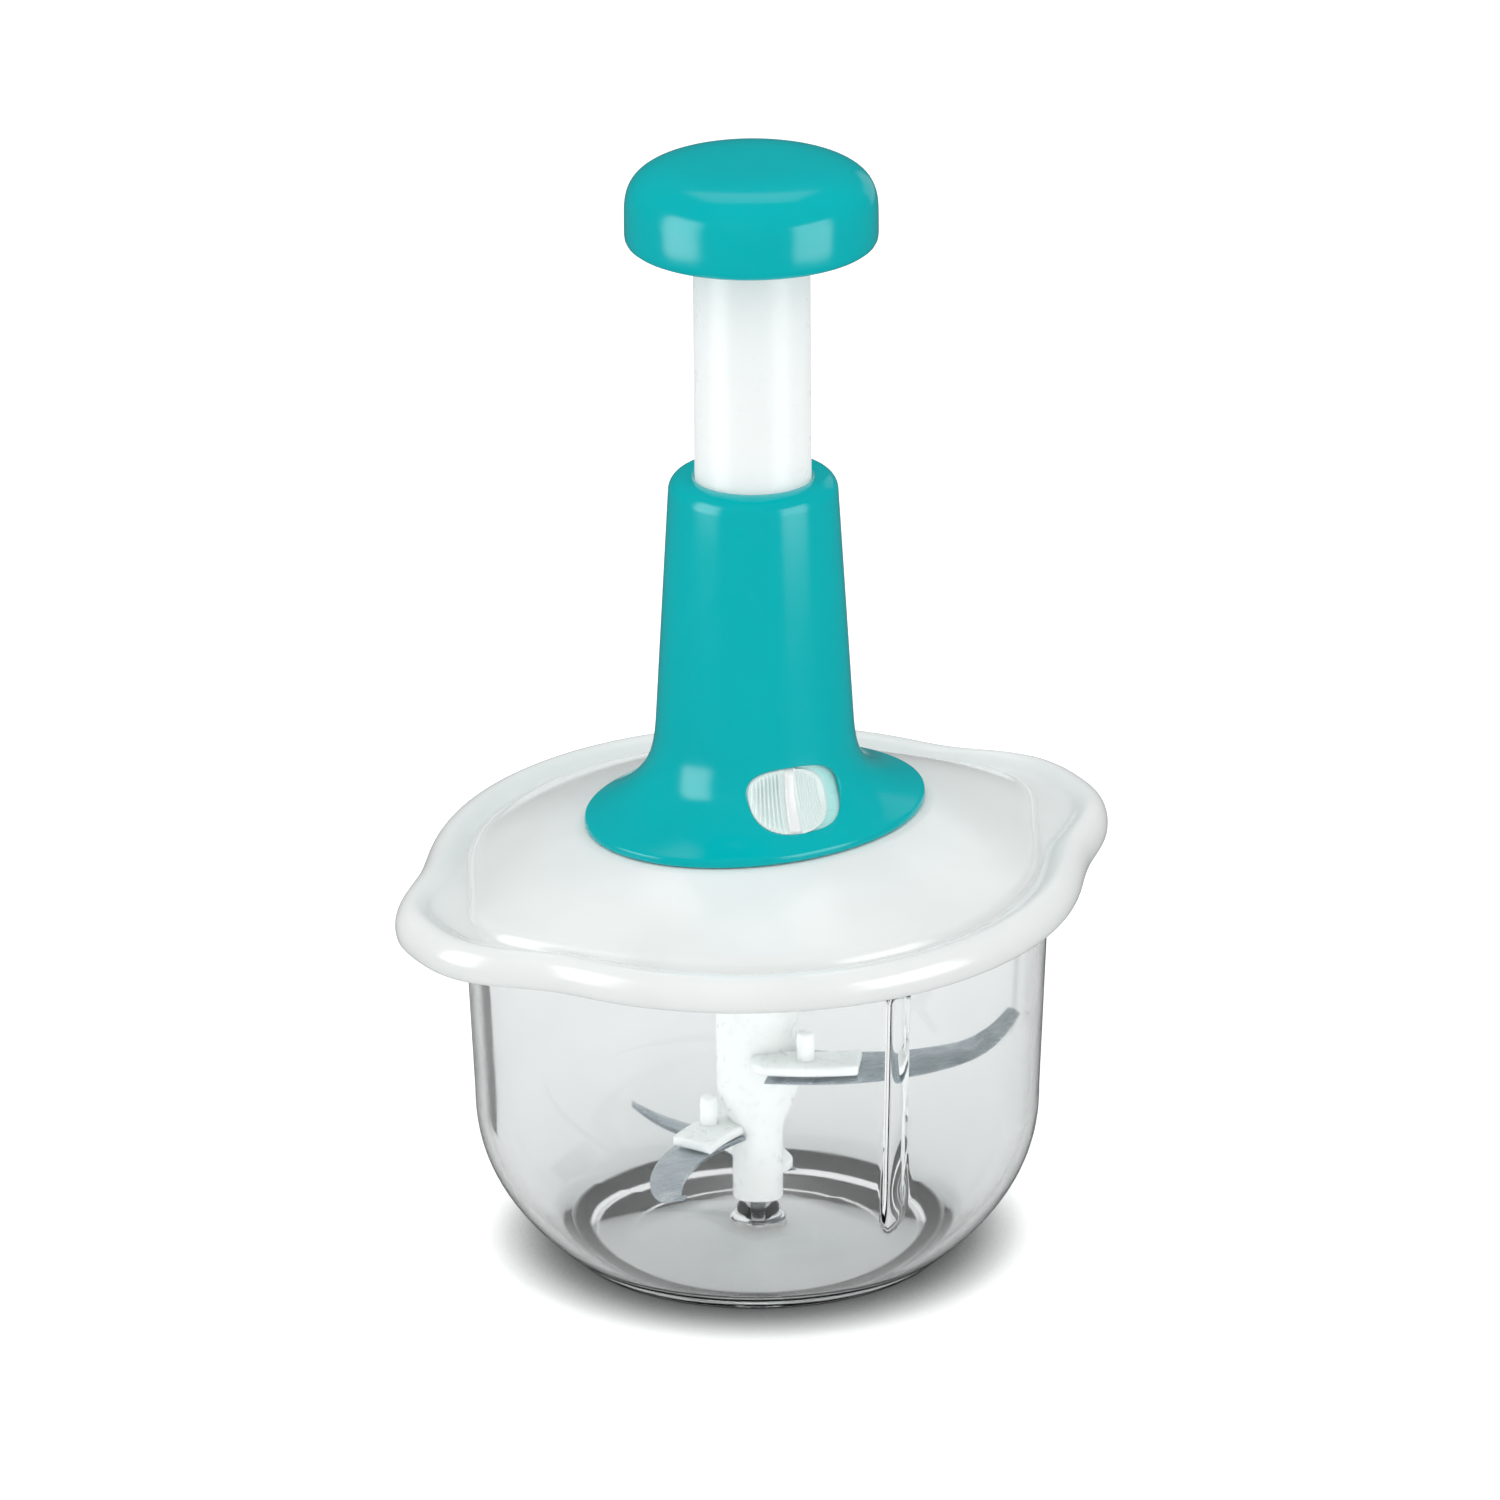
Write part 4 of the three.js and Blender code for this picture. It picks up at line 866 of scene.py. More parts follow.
    def build(self) -> None:
        """Model the lid, its plug ring and the seal, and dress them."""
        lid = Workpiece.swept("lid_moulding", self.sides, self.radial, self.ear_crowd)
        lid.hand_over(Body.LID, Slot.LID_WHITE, WHITE_POLYPROPYLENE, "lid", angle=50.0)
        outer, bottom = self.plug_radius, self.plug_bottom
        inner = outer - self.plug_wall
        floor = outer - self.groove_depth
        edge = [(outer - self.plug_edge, bottom), (outer, bottom + self.plug_edge)]
        groove = [(outer, self.groove_bottom), (floor, self.groove_bottom), (floor, self.groove_top)]
        root = [(outer, self.groove_top), (outer, self.plug_root), (inner, self.plug_root), (inner, bottom)]
        plug = Workpiece.turned("lid_plug_ring", [(inner, bottom), *edge, *groove, *root], 128)
        plug.round_edges(0.3, 60).hand_over(Body.LID, Slot.LID_WHITE, WHITE_POLYPROPYLENE)
        root = floor + self.gap
        low = self.groove_bottom + self.gap
        high = self.groove_top - self.gap
        quarter = (high - low) / 4
        band = root + self.seal_body
        lips = [(band, low)]
        for foot in (low, low + 2 * quarter):
            tip = (self.seal_reach, foot + quarter)
            lips += curve_through([(band, foot), tip, (band, foot + 2 * quarter)], 5)[1:]
        seal = Workpiece.turned("lid_seal_ring", [(root, low), *lips, (root, high), (root, low)], 128)
        seal.hand_over(Body.LID, Slot.SEAL_RUBBER, SILICONE, "lid_seal", angle=60.0)


@dataclass
class Tower:
    """Teal tower: a tapering round wall that flares into an oval foot, with a window for the slider."""

    bottom: float = 107.6
    foot_edge: float = 1.8
    foot_flat: float = 0.5
    foot_roll: float = 2.9
    foot_blend: float = 0.25
    flare_height: float = 24.4
    flare_power: float = 4.0
    foot_length: float = 86.4
    foot_width: float = 69.6
    foot_turn: float = math.radians(11)
    base_radius: float = 24.4
    top_radius: float = 19.7
    lid_top: float = 107.3
    top: float = 190.4
    rounding: float = 4.0
    lip_rounding: float = 1.2
    wall: float = 2.4
    wall_fade: float = 12.0
    hole_radius: float = 13.65
    sides: int = 192
    bearing: float = math.radians(-95.7)
    window_bottom: float = 112.2
    window_top: float = 125.8
    window_half: float = 11.5
    window_wall: float = 0.95
    window_curve: float = 26.0
    window_steps: int = 72
    corner_powers: tuple[float, ...] = (3.1, 2.3, 2.8, 3.0)
    window_fillet: float = 0.65
    cutter_outside: float = 3.0
    cutter_inside: float = 14.0
    lock_travel: float = 3.8
    lock_inset: float = 0.3
    lock_gap: float = 0.07
    pad_reach: float = math.radians(29)
    pad_edge: float = 0.4
    pad_points: int = 421
    slider_depth: float = 3.2
    slider_levels: int = 49
    plate_depth: float = 1.3
    plate_reach: float = math.radians(33)
    coarse_ribs: tuple[float, ...] = (-24.8, 2.1, 0.8, 0.75)
    fine_ribs: tuple[float, ...] = (1.0, 1.6, 0.6, 0.3)
    ridge: float = -4.6
    ridge_lean: float = 0.12
    ridge_half: float = math.radians(3.0)
    ridge_height: float = 1.3
    guide: Points = (
        (13.8, 167.7), (17.9, 167.7), (16.8, 187.9), (13.8, 187.9), (13.8, 183.9),
        (14.6, 183.1), (14.6, 172.5), (13.8, 171.7), (13.8, 167.7),
    )

    def radius(self, angle: float, height: float) -> float:
        """Radius of the outer face at an angle and a height, with a soft roll at the foot's edge."""
        share = (height - self.lid_top) / (self.top - self.rounding - self.lid_top)
        left = limited(1 - (height - self.bottom - self.foot_edge) / self.flare_height)
        oval = oval_radius(angle - self.foot_turn, self.foot_length, self.foot_width)
        flare = (oval - self.base_radius) * left**self.flare_power
        face = mix(self.base_radius, self.top_radius, share) + flare
        if height > self.bottom + self.foot_flat + self.foot_roll:
            return face
        over = limited(height - self.bottom - self.foot_flat, self.foot_roll)
        edge = oval - self.foot_roll + math.sqrt(self.foot_roll**2 - over**2)
        soft = self.foot_blend
        return -soft * math.log(math.exp((oval - face) / soft) + math.exp((oval - edge) / soft)) + oval

    def depth(self, height: float) -> float:
        """Thickness of the wall at a height: the wall is thin round the window."""
        share = limited((height - self.window_top - 2) / self.wall_fade)
        return mix(self.window_wall, self.wall, share * share * (3 - 2 * share))

    def build_shell(self) -> None:
        """Model the shell, up the outside and down the inside, and cut the window."""
        start = self.bottom + self.foot_flat
        foot = self.bottom + self.foot_edge
        low = self.top - self.rounding
        # The levels lie close together round the foot's rolled edge, and wider apart up the flare.
        low_roll = [start + 0.16 * k for k in range(1, 14)]
        flare = [foot + self.flare_height * (k / 30) ** 1.35 for k in range(1, 31)]
        shaft = [mix(foot + self.flare_height, low, k / 5) for k in range(1, 6)]
        heights = [*low_roll, *[height for height in flare if height > low_roll[-1] + 0.05], *shaft]
        inside = [height for height in reversed(heights[:-1:2]) if height > self.bottom + 1.4]
        rounds = [k * math.pi / 20 for k in range(1, 11)]
        brow, large = self.top_radius, self.rounding
        lip, turn = self.hole_radius, self.lip_rounding
        ceiling = self.top - self.wall

        def line(angle: float) -> Points:
            """Return the shell's closed section at one angle."""
            edge = self.radius(angle, start)
            points = [(edge - 0.5, self.bottom), (edge - 0.12, self.bottom + 0.15), (edge, start)]
            points += [(self.radius(angle, height), height) for height in heights]
            points += [(brow - large * (1 - math.cos(a)), low + large * math.sin(a)) for a in rounds]
            points += [(lip + turn * (1 - math.sin(a)), self.top - turn * (1 - math.cos(a))) for a in rounds]
            points += [(lip, ceiling), (brow - self.wall, ceiling)]
            points += [(self.radius(angle, height) - self.depth(height), height) for height in inside]
            return [*points, (edge - 2.0, self.bottom), points[0]]

        shell = Workpiece.swept("tower_shell", self.sides, line)
        shell.combine(self.window_tool("window_cutter", 0.0, 0.0, self.window_fillet))
        shell.hand_over(Body.LID, Slot.TEAL_SHELL, TEAL_ABS, "tower", angle=38.0)

    def window_size(self) -> tuple[float, float]:
        """Return the height of the window's middle and half of its own height."""
        return (self.window_top + self.window_bottom) / 2, (self.window_top - self.window_bottom) / 2

    def corner(self, across: float, up: float) -> float:
        """Power of the window's rounded outline in one of its four corners."""
        return self.corner_powers[(0 if across > 0 else 2) + (1 if (up > 0) == (across > 0) else 0)]

    def window_outline(self, grow: float, right_shrink: float) -> Points:
        """Outline of the window, across and up, grown by a distance, with its right side moved in."""
        middle, tall = self.window_size()
        points = []
        for step in range(self.window_steps):
            angle = step * math.tau / self.window_steps
            across, up = math.cos(angle), math.sin(angle)
            power = self.corner(across, up)
            share = (abs(across) ** power + abs(up) ** power) ** (-1 / power)
            aside = (self.window_half + grow) * across * share
            aside = max(aside - right_shrink, 0.0) if across > 0 else aside
            points.append((aside, middle + (tall + grow) * up * share))
        return points

    def window_tool(self, name: str, shrink: float, right_shrink: float, fillet: float) -> Workpiece:
        """Make the solid that passes through the window, flared where it meets the outer face.

        Args:
            name: Name of the tool.
            shrink: How much smaller than the window it is all round.
            right_shrink: How far its right side is moved in.
            fillet: Radius of the soft edge that it leaves, or nothing for straight sides.

        Returns:
            The tool as a closed piece.
        """
        rings = [(fillet, -self.cutter_outside)]
        if fillet:
            for angle in [step * math.pi / 12 for step in range(7)]:
                rings.append((fillet * (1 - math.sin(angle)), fillet * (1 - math.cos(angle))))
        rings.append((0.0, self.cutter_inside))
        outlines = [self.window_outline(grow - shrink, right_shrink) for grow, _ in rings]
        side = Vector((-math.sin(self.bearing), math.cos(self.bearing), 0))
        out = Vector((math.cos(self.bearing), math.sin(self.bearing), 0))

        def place(angle: float, level: int) -> Sequence[float]:
            """Set each ring at its depth under the tower's outer face."""
            across, height = outlines[level][sector(angle, self.window_steps)]
            bearing = self.bearing + across / self.window_curve
            face = self.radius(bearing, max(height, self.bottom + self.foot_edge))
            reach = math.sqrt(max(face**2 - across**2, 1.0)) - rings[level][1]
            spot = side * across + out * reach
            return spot.x, spot.y, height

        return Workpiece.sleeve(name, self.window_steps, len(rings), place)

    def pad_inset(self, angle: float, height: float) -> float:
        """How far a point of the pad lies inside its rounded outline."""
        middle, tall = self.window_size()
        tall -= self.lock_gap
        half = self.window_half - self.lock_gap
        across = math.sin(angle) * self.radius(self.bearing, height)
        aside = abs(across) + self.lock_travel * limited(across / 3)
        up = (height - middle) / tall
        power = self.corner(across, up)
        share = ((aside / half) ** power + abs(up) ** power) ** (1 / power)
        return max(0.0, (1 - share) * min(half, tall))

    def pad_front(self, angle: float, height: float) -> float:
        """Radius of the pad's ribbed face, which is rounded back at its edge."""
        inset = self.pad_inset(angle, height)
        turn = self.pad_edge
        rounding = turn - math.sqrt(turn**2 - (turn - min(inset, turn)) ** 2)
        relief = 0.0
        for first, pitch, half, proud in (self.coarse_ribs, self.fine_ribs):
            for index in range(8):
                off = abs(math.degrees(angle) - (first + index * pitch)) / half
                if off < 1:
                    relief = proud * math.cos(off * math.pi / 2) ** 0.7
        standing = relief * limited((inset - 0.2) / 1.1) - rounding
        return self.radius(self.bearing + angle, height) - self.lock_inset + standing

    def plate_front(self, _: float, height: float) -> float:
        """Radius of the plate's face, which is round so that it can turn behind the wall."""
        return self.radius(self.foot_turn - math.pi / 2, height) - self.plate_depth

    def ridge_bearing(self, height: float) -> float:
        """Bearing of the ridge from the slider's middle, which leans a little as it goes down."""
        return math.radians(self.ridge + self.ridge_lean * (height - self.window_size()[0]))

    def ridge_front(self, angle: float, height: float) -> float:
        """Radius of the thumb ridge's face, which fades in from the pad's edge."""
        bearing = angle + self.ridge_bearing(height)
        fade = limited((self.pad_inset(bearing, height) - 0.1) / 1.3)
        crown = max(0.0, 1 - (angle / self.ridge_half) ** 4) ** 0.5
        standing = self.ridge_height * crown * fade * (2 - fade)
        return self.radius(self.bearing + bearing, height) - self.lock_inset + standing - 0.1

    def slab(
        self,
        name: str,
        half: float,
        front: Face,
        span: tuple[float, float],
        count: int,
        turned: Callable[[float], float] = lambda height: 0.0,
    ) -> Workpiece:
        """Make a curved slab behind the window.

        Args:
            name: Name of the piece.
            half: Half of its width, as an angle.
            front: Radius of its front face at an angle and a height.
            span: Its lowest and highest level.
            count: Points across each face.
            turned: Bearing of its middle at a height, where it doesn't stand straight.

        Returns:
            The slab, with a round back face.
        """
        back = self.plate_front(0.0, self.window_top) - self.slider_depth

        def place(angle: float, level: int) -> Sequence[float]:
            """Set a sleeve's points round the slab's section at one height."""
            index = sector(angle, 2 * count)
            at_front = index < count
            share = (index if at_front else 2 * count - 1 - index) / (count - 1)
            off = mix(-half, half, share)
            height = mix(*span, level / (self.slider_levels - 1))
            reach = front(off, height) if at_front else back
            return polar(reach, self.bearing + off + turned(height), height)

        return Workpiece.sleeve(name, 2 * count, self.slider_levels, place)

    def build_slider(self) -> None:
        """Model the slider's ribbed pad, which fills the window, its ridge and the plate behind the wall."""
        low, high = self.window_bottom, self.window_top
        span = (low - 0.4, high + 0.4)
        pad = self.slab("slider_pad", self.pad_reach, self.pad_front, span, self.pad_points)
        pad.combine(self.window_tool("pad_trim", self.lock_gap, self.lock_travel, 0.0), "INTERSECT")
        # The pad's finish has the recess's shade and the wall's teal bounce painted in.
        pad.hand_over(Body.LOCK, Slot.SLIDER_WHITE, RIBBED_ACETAL_PAINTED_SHADE, "lock_slider", angle=50.0)
        span = (low + 0.2, high - 0.2)
        ridge = self.slab("slider_ridge", self.ridge_half, self.ridge_front, span, 21, self.ridge_bearing)
        ridge.hand_over(Body.LOCK, Slot.SLIDER_WHITE, WHITE_ACETAL, angle=50.0)
        plate = self.slab("slider_plate", self.plate_reach, self.plate_front, (low - 1.2, high + 1.7), 60)
        # The plate's finish has the wall's teal bounce and its shade painted in.
        plate.hand_over(Body.LOCK, Slot.SLIDER_WHITE, ACETAL_PAINTED_TEAL_BOUNCE)

    def build(self) -> None:
        """Model the tower with its slider, and the bush that guides the tube."""
        self.build_shell()
        self.build_slider()
        guide = Workpiece.turned("tube_guide", self.guide).round_edges(0.25)
        guide.hand_over(Body.LID, Slot.GUIDE_WHITE, WHITE_ACETAL, "guide_bush")


@dataclass
class Plunger:
    """Palm knob on a white tube, with the spiral rod that it pushes."""

    tube_radius: float = 13.5
    tube_wall: float = 1.8
    tube_bottom: float = 165.2
    tube_top: float = 256.0
    flange_radius: float = 15.2
    flange: float = 2.2
    knob_radius: float = 29.15
    knob_bottom: float = 246.7
    knob_shoulder: float = 252.0
    knob_top: float = 266.0
    knob_wall: float = 2.4
    knob_power: float = 3.6
    knob_edge: Points = ((0.0, 2.2), (0.12, 1.3), (0.5, 0.55), (1.1, 0.1), (1.6, 0.0))
    socket_wall: float = 1.8
    socket_bottom: float = 251.5
    boss_bottom: float = 242.0
    boss_wall: float = 2.0
    holder_top: float = 260.0
    plate_bottom: float = 248.4
    plate_top: float = 250.2
    rod_width: float = 7.0
    rod_thickness: float = 3.2
    rod_rounding: float = 0.45
    rod_lead: float = 28.0
    rod_bottom: float = 95.4
    rod_top: float = 257.0
    rod_steps: int = 30
    gap: float = 0.3

    def dome(self, radius: float, rise: float, share: float) -> tuple[float, float]:
        """Point of the knob's rounded top, from the shoulder to the middle."""
        angle = share * math.pi / 2
        power = 2 / self.knob_power
        across = radius * max(0.0, math.cos(angle)) ** power
        return across, self.knob_shoulder + rise * math.sin(angle) ** power

    def build_knob(self) -> None:
        """Turn the knob with its socket for the tube, and the plate that closes it below."""
        rise = self.knob_top - self.knob_shoulder
        inner = self.knob_radius - self.knob_wall
        shares = [1 - (1 - k / 40) ** 1.6 for k in range(1, 41)]
        outside = [self.dome(self.knob_radius, rise, share) for share in reversed(shares)]
        inside = [self.dome(inner, rise - self.knob_wall, share) for share in shares if share < 0.66]
        socket = self.tube_radius + self.gap
        rim = socket + self.socket_wall
        boss = self.tube_radius - self.tube_wall - self.gap
        bore = boss - self.boss_wall
        low = self.knob_bottom
        end = self.tube_top + self.gap
        holder = self.holder_top + self.gap
        section = [(0.0, self.knob_top), *outside[1:], (self.knob_radius, self.knob_shoulder)]
        section += [(self.knob_radius - inset, low + up) for inset, up in self.knob_edge]
        section += [(inner + 0.3, low), (inner, low + 0.3), (inner, self.knob_shoulder), *inside]
        section += [(rim, self.knob_top - self.knob_wall), (rim, self.socket_bottom)]
        section += [(socket, self.socket_bottom), (socket, end), (boss, end), (boss, self.boss_bottom)]
        section += [(bore, self.boss_bottom), (bore, holder), (0.0, holder)]
        knob = Workpiece.turned("palm_knob", section, 160)
        knob.hand_over(Body.PLUNGER, Slot.TEAL_SHELL, TEAL_ABS, "knob", angle=40.0)
        section = box(socket, inner - self.gap, self.plate_bottom, self.plate_top)
        base = Workpiece.turned("knob_closing_plate", section, 128).round_edges(0.3)
        base.hand_over(Body.PLUNGER, Slot.TEAL_SHELL, TEAL_ABS, "knob_base")

    def build_tube(self) -> None:
        """Turn the tube with the flange that stops it in the tower."""
        bore, low = self.tube_radius - self.tube_wall, self.tube_bottom
        section = [(bore, low), (self.flange_radius, low), (self.flange_radius, low + self.flange)]
        section += [(self.tube_radius, low + self.flange), (self.tube_radius, self.tube_top)]
        section += [(bore, self.tube_top), (bore, low)]
        tube = Workpiece.turned("plunger_sleeve", section, 128).round_edges(0.3)
        tube.hand_over(Body.PLUNGER, Slot.TUBE_WHITE, MILKY_TUBE, "plunger_tube")

    def build_rod(self) -> None:
        """Twist a flat bar with rounded corners into the spiral rod."""
        levels = int((self.rod_top - self.rod_bottom) / self.rod_lead * self.rod_steps) + 1
        soft = self.rod_rounding
        ring = []
        for start, sign_x, sign_y in ((0, 1, 1), (90, -1, 1), (180, -1, -1), (270, 1, -1)):
            for turn in [math.radians(start + step) for step in (0, 45, 90)]:
                x = sign_x * (self.rod_width / 2 - soft) + soft * math.cos(turn)
                ring.append((x, sign_y * (self.rod_thickness / 2 - soft) + soft * math.sin(turn)))

        def place(angle: float, level: int) -> Sequence[float]:
            """Turn the bar's section as it rises, left-handed."""
            x, y = ring[sector(angle, len(ring))]
            height = mix(self.rod_bottom, self.rod_top, level / (levels - 1))
            twist = -math.tau * (height - self.rod_bottom) / self.rod_lead
            cos, sin = math.cos(twist), math.sin(twist)
            return x * cos - y * sin, x * sin + y * cos, height

        rod = Workpiece.sleeve("spiral_bar", len(ring), levels, place)
        rod.hand_over(Body.PLUNGER, Slot.ROD_STEEL, DRAWN_STEEL, "spiral_rod", angle=50.0)

    def build(self, frame: dict) -> None:
        """Model the plunger, and dress the CAD pieces that stay inside its knob."""
        self.build_knob()
        self.build_tube()
        self.build_rod()
        dress_node(frame, "rod_holder", GREY_ACETAL)
        dress_node(frame, "rod_pin", TURNED_STEEL)


@dataclass
class Drive:
    """Housing under the lid with its nut and coupler, three screws, and the return spring above."""

    housing_radius: float = 15.6
    housing_bottom: float = 86.8
    housing_floor: float = 2.0
    flange_radius: float = 24.0
    flange_top: float = 104.8
    flange: float = 2.2
    bore: float = 13.3
    spigot_hole: float = 7.53
    screw_circle: float = 20.0
    screw_angles: tuple[float, ...] = (90.0, 210.0, 330.0)
    screw_head: float = 1.8
    screw_shaft: Points = ((1.4, 113.6), (0.0, 115.0))
    slot_size: tuple[float, float, float] = (7.0, 0.8, 1.6)
    spring_radius: float = 8.6
    wire_radius: float = 0.75
    spring_bottom: float = 110.45
    spring_top: float = 236.95
    end_gap: float = 0.6
    coils: int = 12
    coil_steps: int = 28
    seat: Points = (
        (4.4, 105.7), (6.0, 105.7), (6.0, 107.6), (10.6, 107.6), (10.6, 109.4),
        (7.3, 109.4), (7.0, 113.0), (4.4, 113.0), (4.4, 105.7),
    )

    def build_housing(self) -> None:
        """Turn the cup that holds the nut and the coupler, with its screwed flange."""
        top, low = self.flange_top, self.housing_bottom
        under, floor = top - self.flange, low + self.housing_floor
        section = [(self.spigot_hole, low), (self.housing_radius, low), (self.housing_radius, under)]
        section += [(self.flange_radius, under), (self.flange_radius, top), (self.bore, top)]
        section += [(self.bore, floor), (self.spigot_hole, floor), (self.spigot_hole, low)]
        housing = Workpiece.turned("drive_cup", section).round_edges(0.5)
        housing.hand_over(Body.LID, Slot.DRIVE_WHITE, WHITE_ACETAL, "drive_housing")

    def build_screws(self) -> None:
        """Turn one screw with a slotted pan head, and copy it to the other two places."""
        head = self.flange_top - self.flange - 0.3
        low = head - self.screw_head
        section = [(0.0, low), (1.6, low + 0.08), (2.3, low + 0.4), (2.65, low + 0.9), (2.7, head)]
        section += [(self.screw_shaft[0][0], head), *self.screw_shaft]
        first = Workpiece.turned("housing_screw_1", section, 40)
        clear_selection()
        size = [length * MM for length in self.slot_size]
        bpy.ops.mesh.primitive_cube_add(size=1, location=(0, 0, low * MM), scale=size)
        first.combine(Workpiece("screw_slot"))
        screws = [first, *[first.copy(f"housing_screw_{number}") for number in (2, 3)]]
        for number, (screw, angle) in enumerate(zip(screws, self.screw_angles), 1):
            turn = math.radians(angle)
            screw.turn(turn).shift(self.screw_circle * math.cos(turn), self.screw_circle * math.sin(turn))
            screw.hand_over(Body.LID, Slot.SCREW_STEEL, TURNED_STEEL, f"drive_screw_{number}")

    def build_spring(self) -> None:
        """Wind the return spring, with its end coils closed, and give it a mesh of its own."""
        flat = 2 * self.wire_radius + self.end_gap

        def middle(coil: float) -> float:
            """Height of the wire after so many coils."""
            if coil <= 1:
                return self.spring_bottom + coil * flat
            if coil >= self.coils - 1:
                return self.spring_top - (self.coils - coil) * flat
            return mix(self.spring_bottom + flat, self.spring_top - flat, (coil - 1) / (self.coils - 2))

        def place(angle: float, level: int) -> Sequence[float]:
            """Set a ring of the wire's skin on the helix."""
            coil = level / self.coil_steps
            radius = self.spring_radius + self.wire_radius * math.cos(angle)
            return polar(radius, math.tau * coil, middle(coil) + self.wire_radius * math.sin(angle))

        spring = Workpiece.sleeve("wound_spring", 12, self.coils * self.coil_steps + 1, place)
        made = spring.hand_over(Body.LID, Slot.SPRING_STEEL, SPRING_WIRE, "return_spring", angle=50.0)
        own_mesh(made)

    def build(self, frame: dict) -> None:
        """Model the drive, and dress the toothed CAD pieces inside it."""
        self.build_housing()
        self.build_screws()
        self.build_spring()
        seat = Workpiece.turned("spring_seat_ring", self.seat, 64).round_edges(0.25)
        seat.hand_over(Body.LID, Slot.DRIVE_GREY, GREY_ACETAL, "spring_seat")
        dress_node(frame, "drive_nut", GREY_ACETAL)
        dress_node(frame, "clutch_coupler", GREY_ACETAL)


@dataclass
class BladeSet:
    """White hub with an arm for each of its three crescent blades, which pegs hold down."""

    hub_radius: float = 9.6
    hub_top: float = 85.6
    hub_step: float = 0.2
    cone_top: float = 37.6
    cone_bottom: float = 27.5
    cone_edge: float = 0.6
    shaft_radius: float = 5.9
    hub_bottom: float = 9.9
    socket_across: float = 12.6
    socket_depth: float = 6.4
    bore: float = 4.4
    bore_bottom: float = 38.0
    foot_bore: Points = ((3.9, 9.9), (3.9, 22.2), (2.3, 22.2), (2.3, 24.3), (0.0, 24.3))
    bush: tuple[float, ...] = (2.3, 3.6, 9.9, 21.9)
    bearing: float = math.radians(-18)
    names: tuple[str, ...] = ("upper", "middle", "lower")
    heights: tuple[float, ...] = (45.6, 25.8, 13.2)
    reaches: tuple[float, ...] = (64.0, 56.5, 47.5)
    plate: float = 1.2
    lead_root: tuple[float, float] = (-0.2, -1.85)
    trail_root: tuple[float, float] = (0.94, -0.1)
    bow: float = 0.168
    hollow: float = 0.14
    tip: float = 2.4
    tip_slant: float = 2.8
    tip_rise: float = 5.0
    fold: float = 0.7
    grind: float = 3.0
    blade_levels: int = 61
    arm_thickness: float = 2.4
    arm_share: float = 0.29
    arm_half: float = 5.5
    arm_inset: float = 0.8
    peg_radius: float = 2.1
    peg_above: float = 7.0
    peg_share: float = 0.1
    peg_across: float = 0.36
    gap: float = 0.3

    def root(self, index: int) -> float:
        """Radius of the hub where a blade sits."""
        return self.shaft_radius if index else self.hub_radius

    def edge_point(self, start: Sequence[float], end: Sequence[float], bow: float, share: float) -> Vector:
        """Point of an edge that bows sideways by a share of its length."""
        line = Vector((end[0] - start[0], end[1] - start[1]))
        side = Vector((line.y, -line.x))
        return Vector(start) + line * share + side * (4 * bow * share * (1 - share))

    def lead(self, index: int, share: float) -> Vector:
        """Point of a blade's cutting edge."""
        start = [part * self.root(index) for part in self.lead_root]
        return self.edge_point(start, (self.reaches[index], -self.tip / 2), self.bow, share)

    def trail(self, index: int, share: float) -> Vector:
        """Point of a blade's hollow back edge."""
        start = [part * self.root(index) for part in self.trail_root]
        end = (self.reaches[index] - self.tip_slant, self.tip / 2)
        return self.edge_point(start, end, self.hollow, share)

    def angle(self, index: int) -> float:
        """Bearing of a blade."""
        return self.bearing - math.tau * index / len(self.names)

    def build_blade(self, index: int) -> None:
        """Form one blade: a crescent plate, ground to an edge, with its tip folded up."""
        bottom, plate = self.heights[index], self.plate

        def place(angle: float, level: int) -> Sequence[float]:
            """Set the blade's section at a share of its length."""
            share = level / (self.blade_levels - 1)
            lead, trail = self.lead(index, share), self.trail(index, share)
            width = (trail - lead).length
            ground = lead.lerp(trail, min(self.grind, width / 2) / width)
            soft = trail.lerp(lead, min(0.25, width / 8) / width)
            spots = [(lead, 0.0), (soft, 0.0), (trail, 0.25), (trail, plate - 0.25)]
            spots += [(soft, plate), (ground, plate), (lead, 0.22)]
            spot, up = spots[sector(angle, len(spots))]
            rise = self.tip_rise * max(0.0, (share - self.fold) / (1 - self.fold)) ** 2
            return spot.x, spot.y, bottom + up + rise

        blade = Workpiece.sleeve(f"crescent_{self.names[index]}", 7, self.blade_levels, place)
        blade.combine(Workpiece.cutter("hub_room", 96, self.root(index) + self.gap, 4, bottom + plate / 2))
        blade.turn(self.angle(index))
        name = f"blade_{self.names[index]}"
        blade.hand_over(Body.BLADES, Slot.BLADE_STEEL, GROUND_STAINLESS, name, angle=20.0)

    def build_arm(self, index: int) -> Workpiece:
        """Draw the arm that lies on a blade's root, with a round end at the hub, and round it all over."""
        half = self.arm_half
        front, rear, ends = [], [], []
        for step in range(17):
            share = self.arm_share * step / 16
            lead, trail = self.lead(index, share), self.trail(index, share)
            forward = (lead - trail).normalized()
            middle = lead - forward * (half + self.arm_inset)
            front.append(middle + forward * half)
            rear.append(middle - forward * half)
            if step == 0:
                aside = Vector((forward.y, -forward.x))
                for angle in [math.pi * turn / 12 for turn in range(1, 12)]:
                    ends.append(middle - forward * half * math.cos(angle) + aside * half * math.sin(angle))
        bottom = self.heights[index] + self.plate + self.gap
        outline = [tuple(point) for point in [*front, *reversed(rear), *ends]]
        arm = Workpiece.plate(f"arm_{self.names[index]}", outline, bottom, self.arm_thickness)
        return arm.round_edges(0.6, 50.0).turn(self.angle(index))

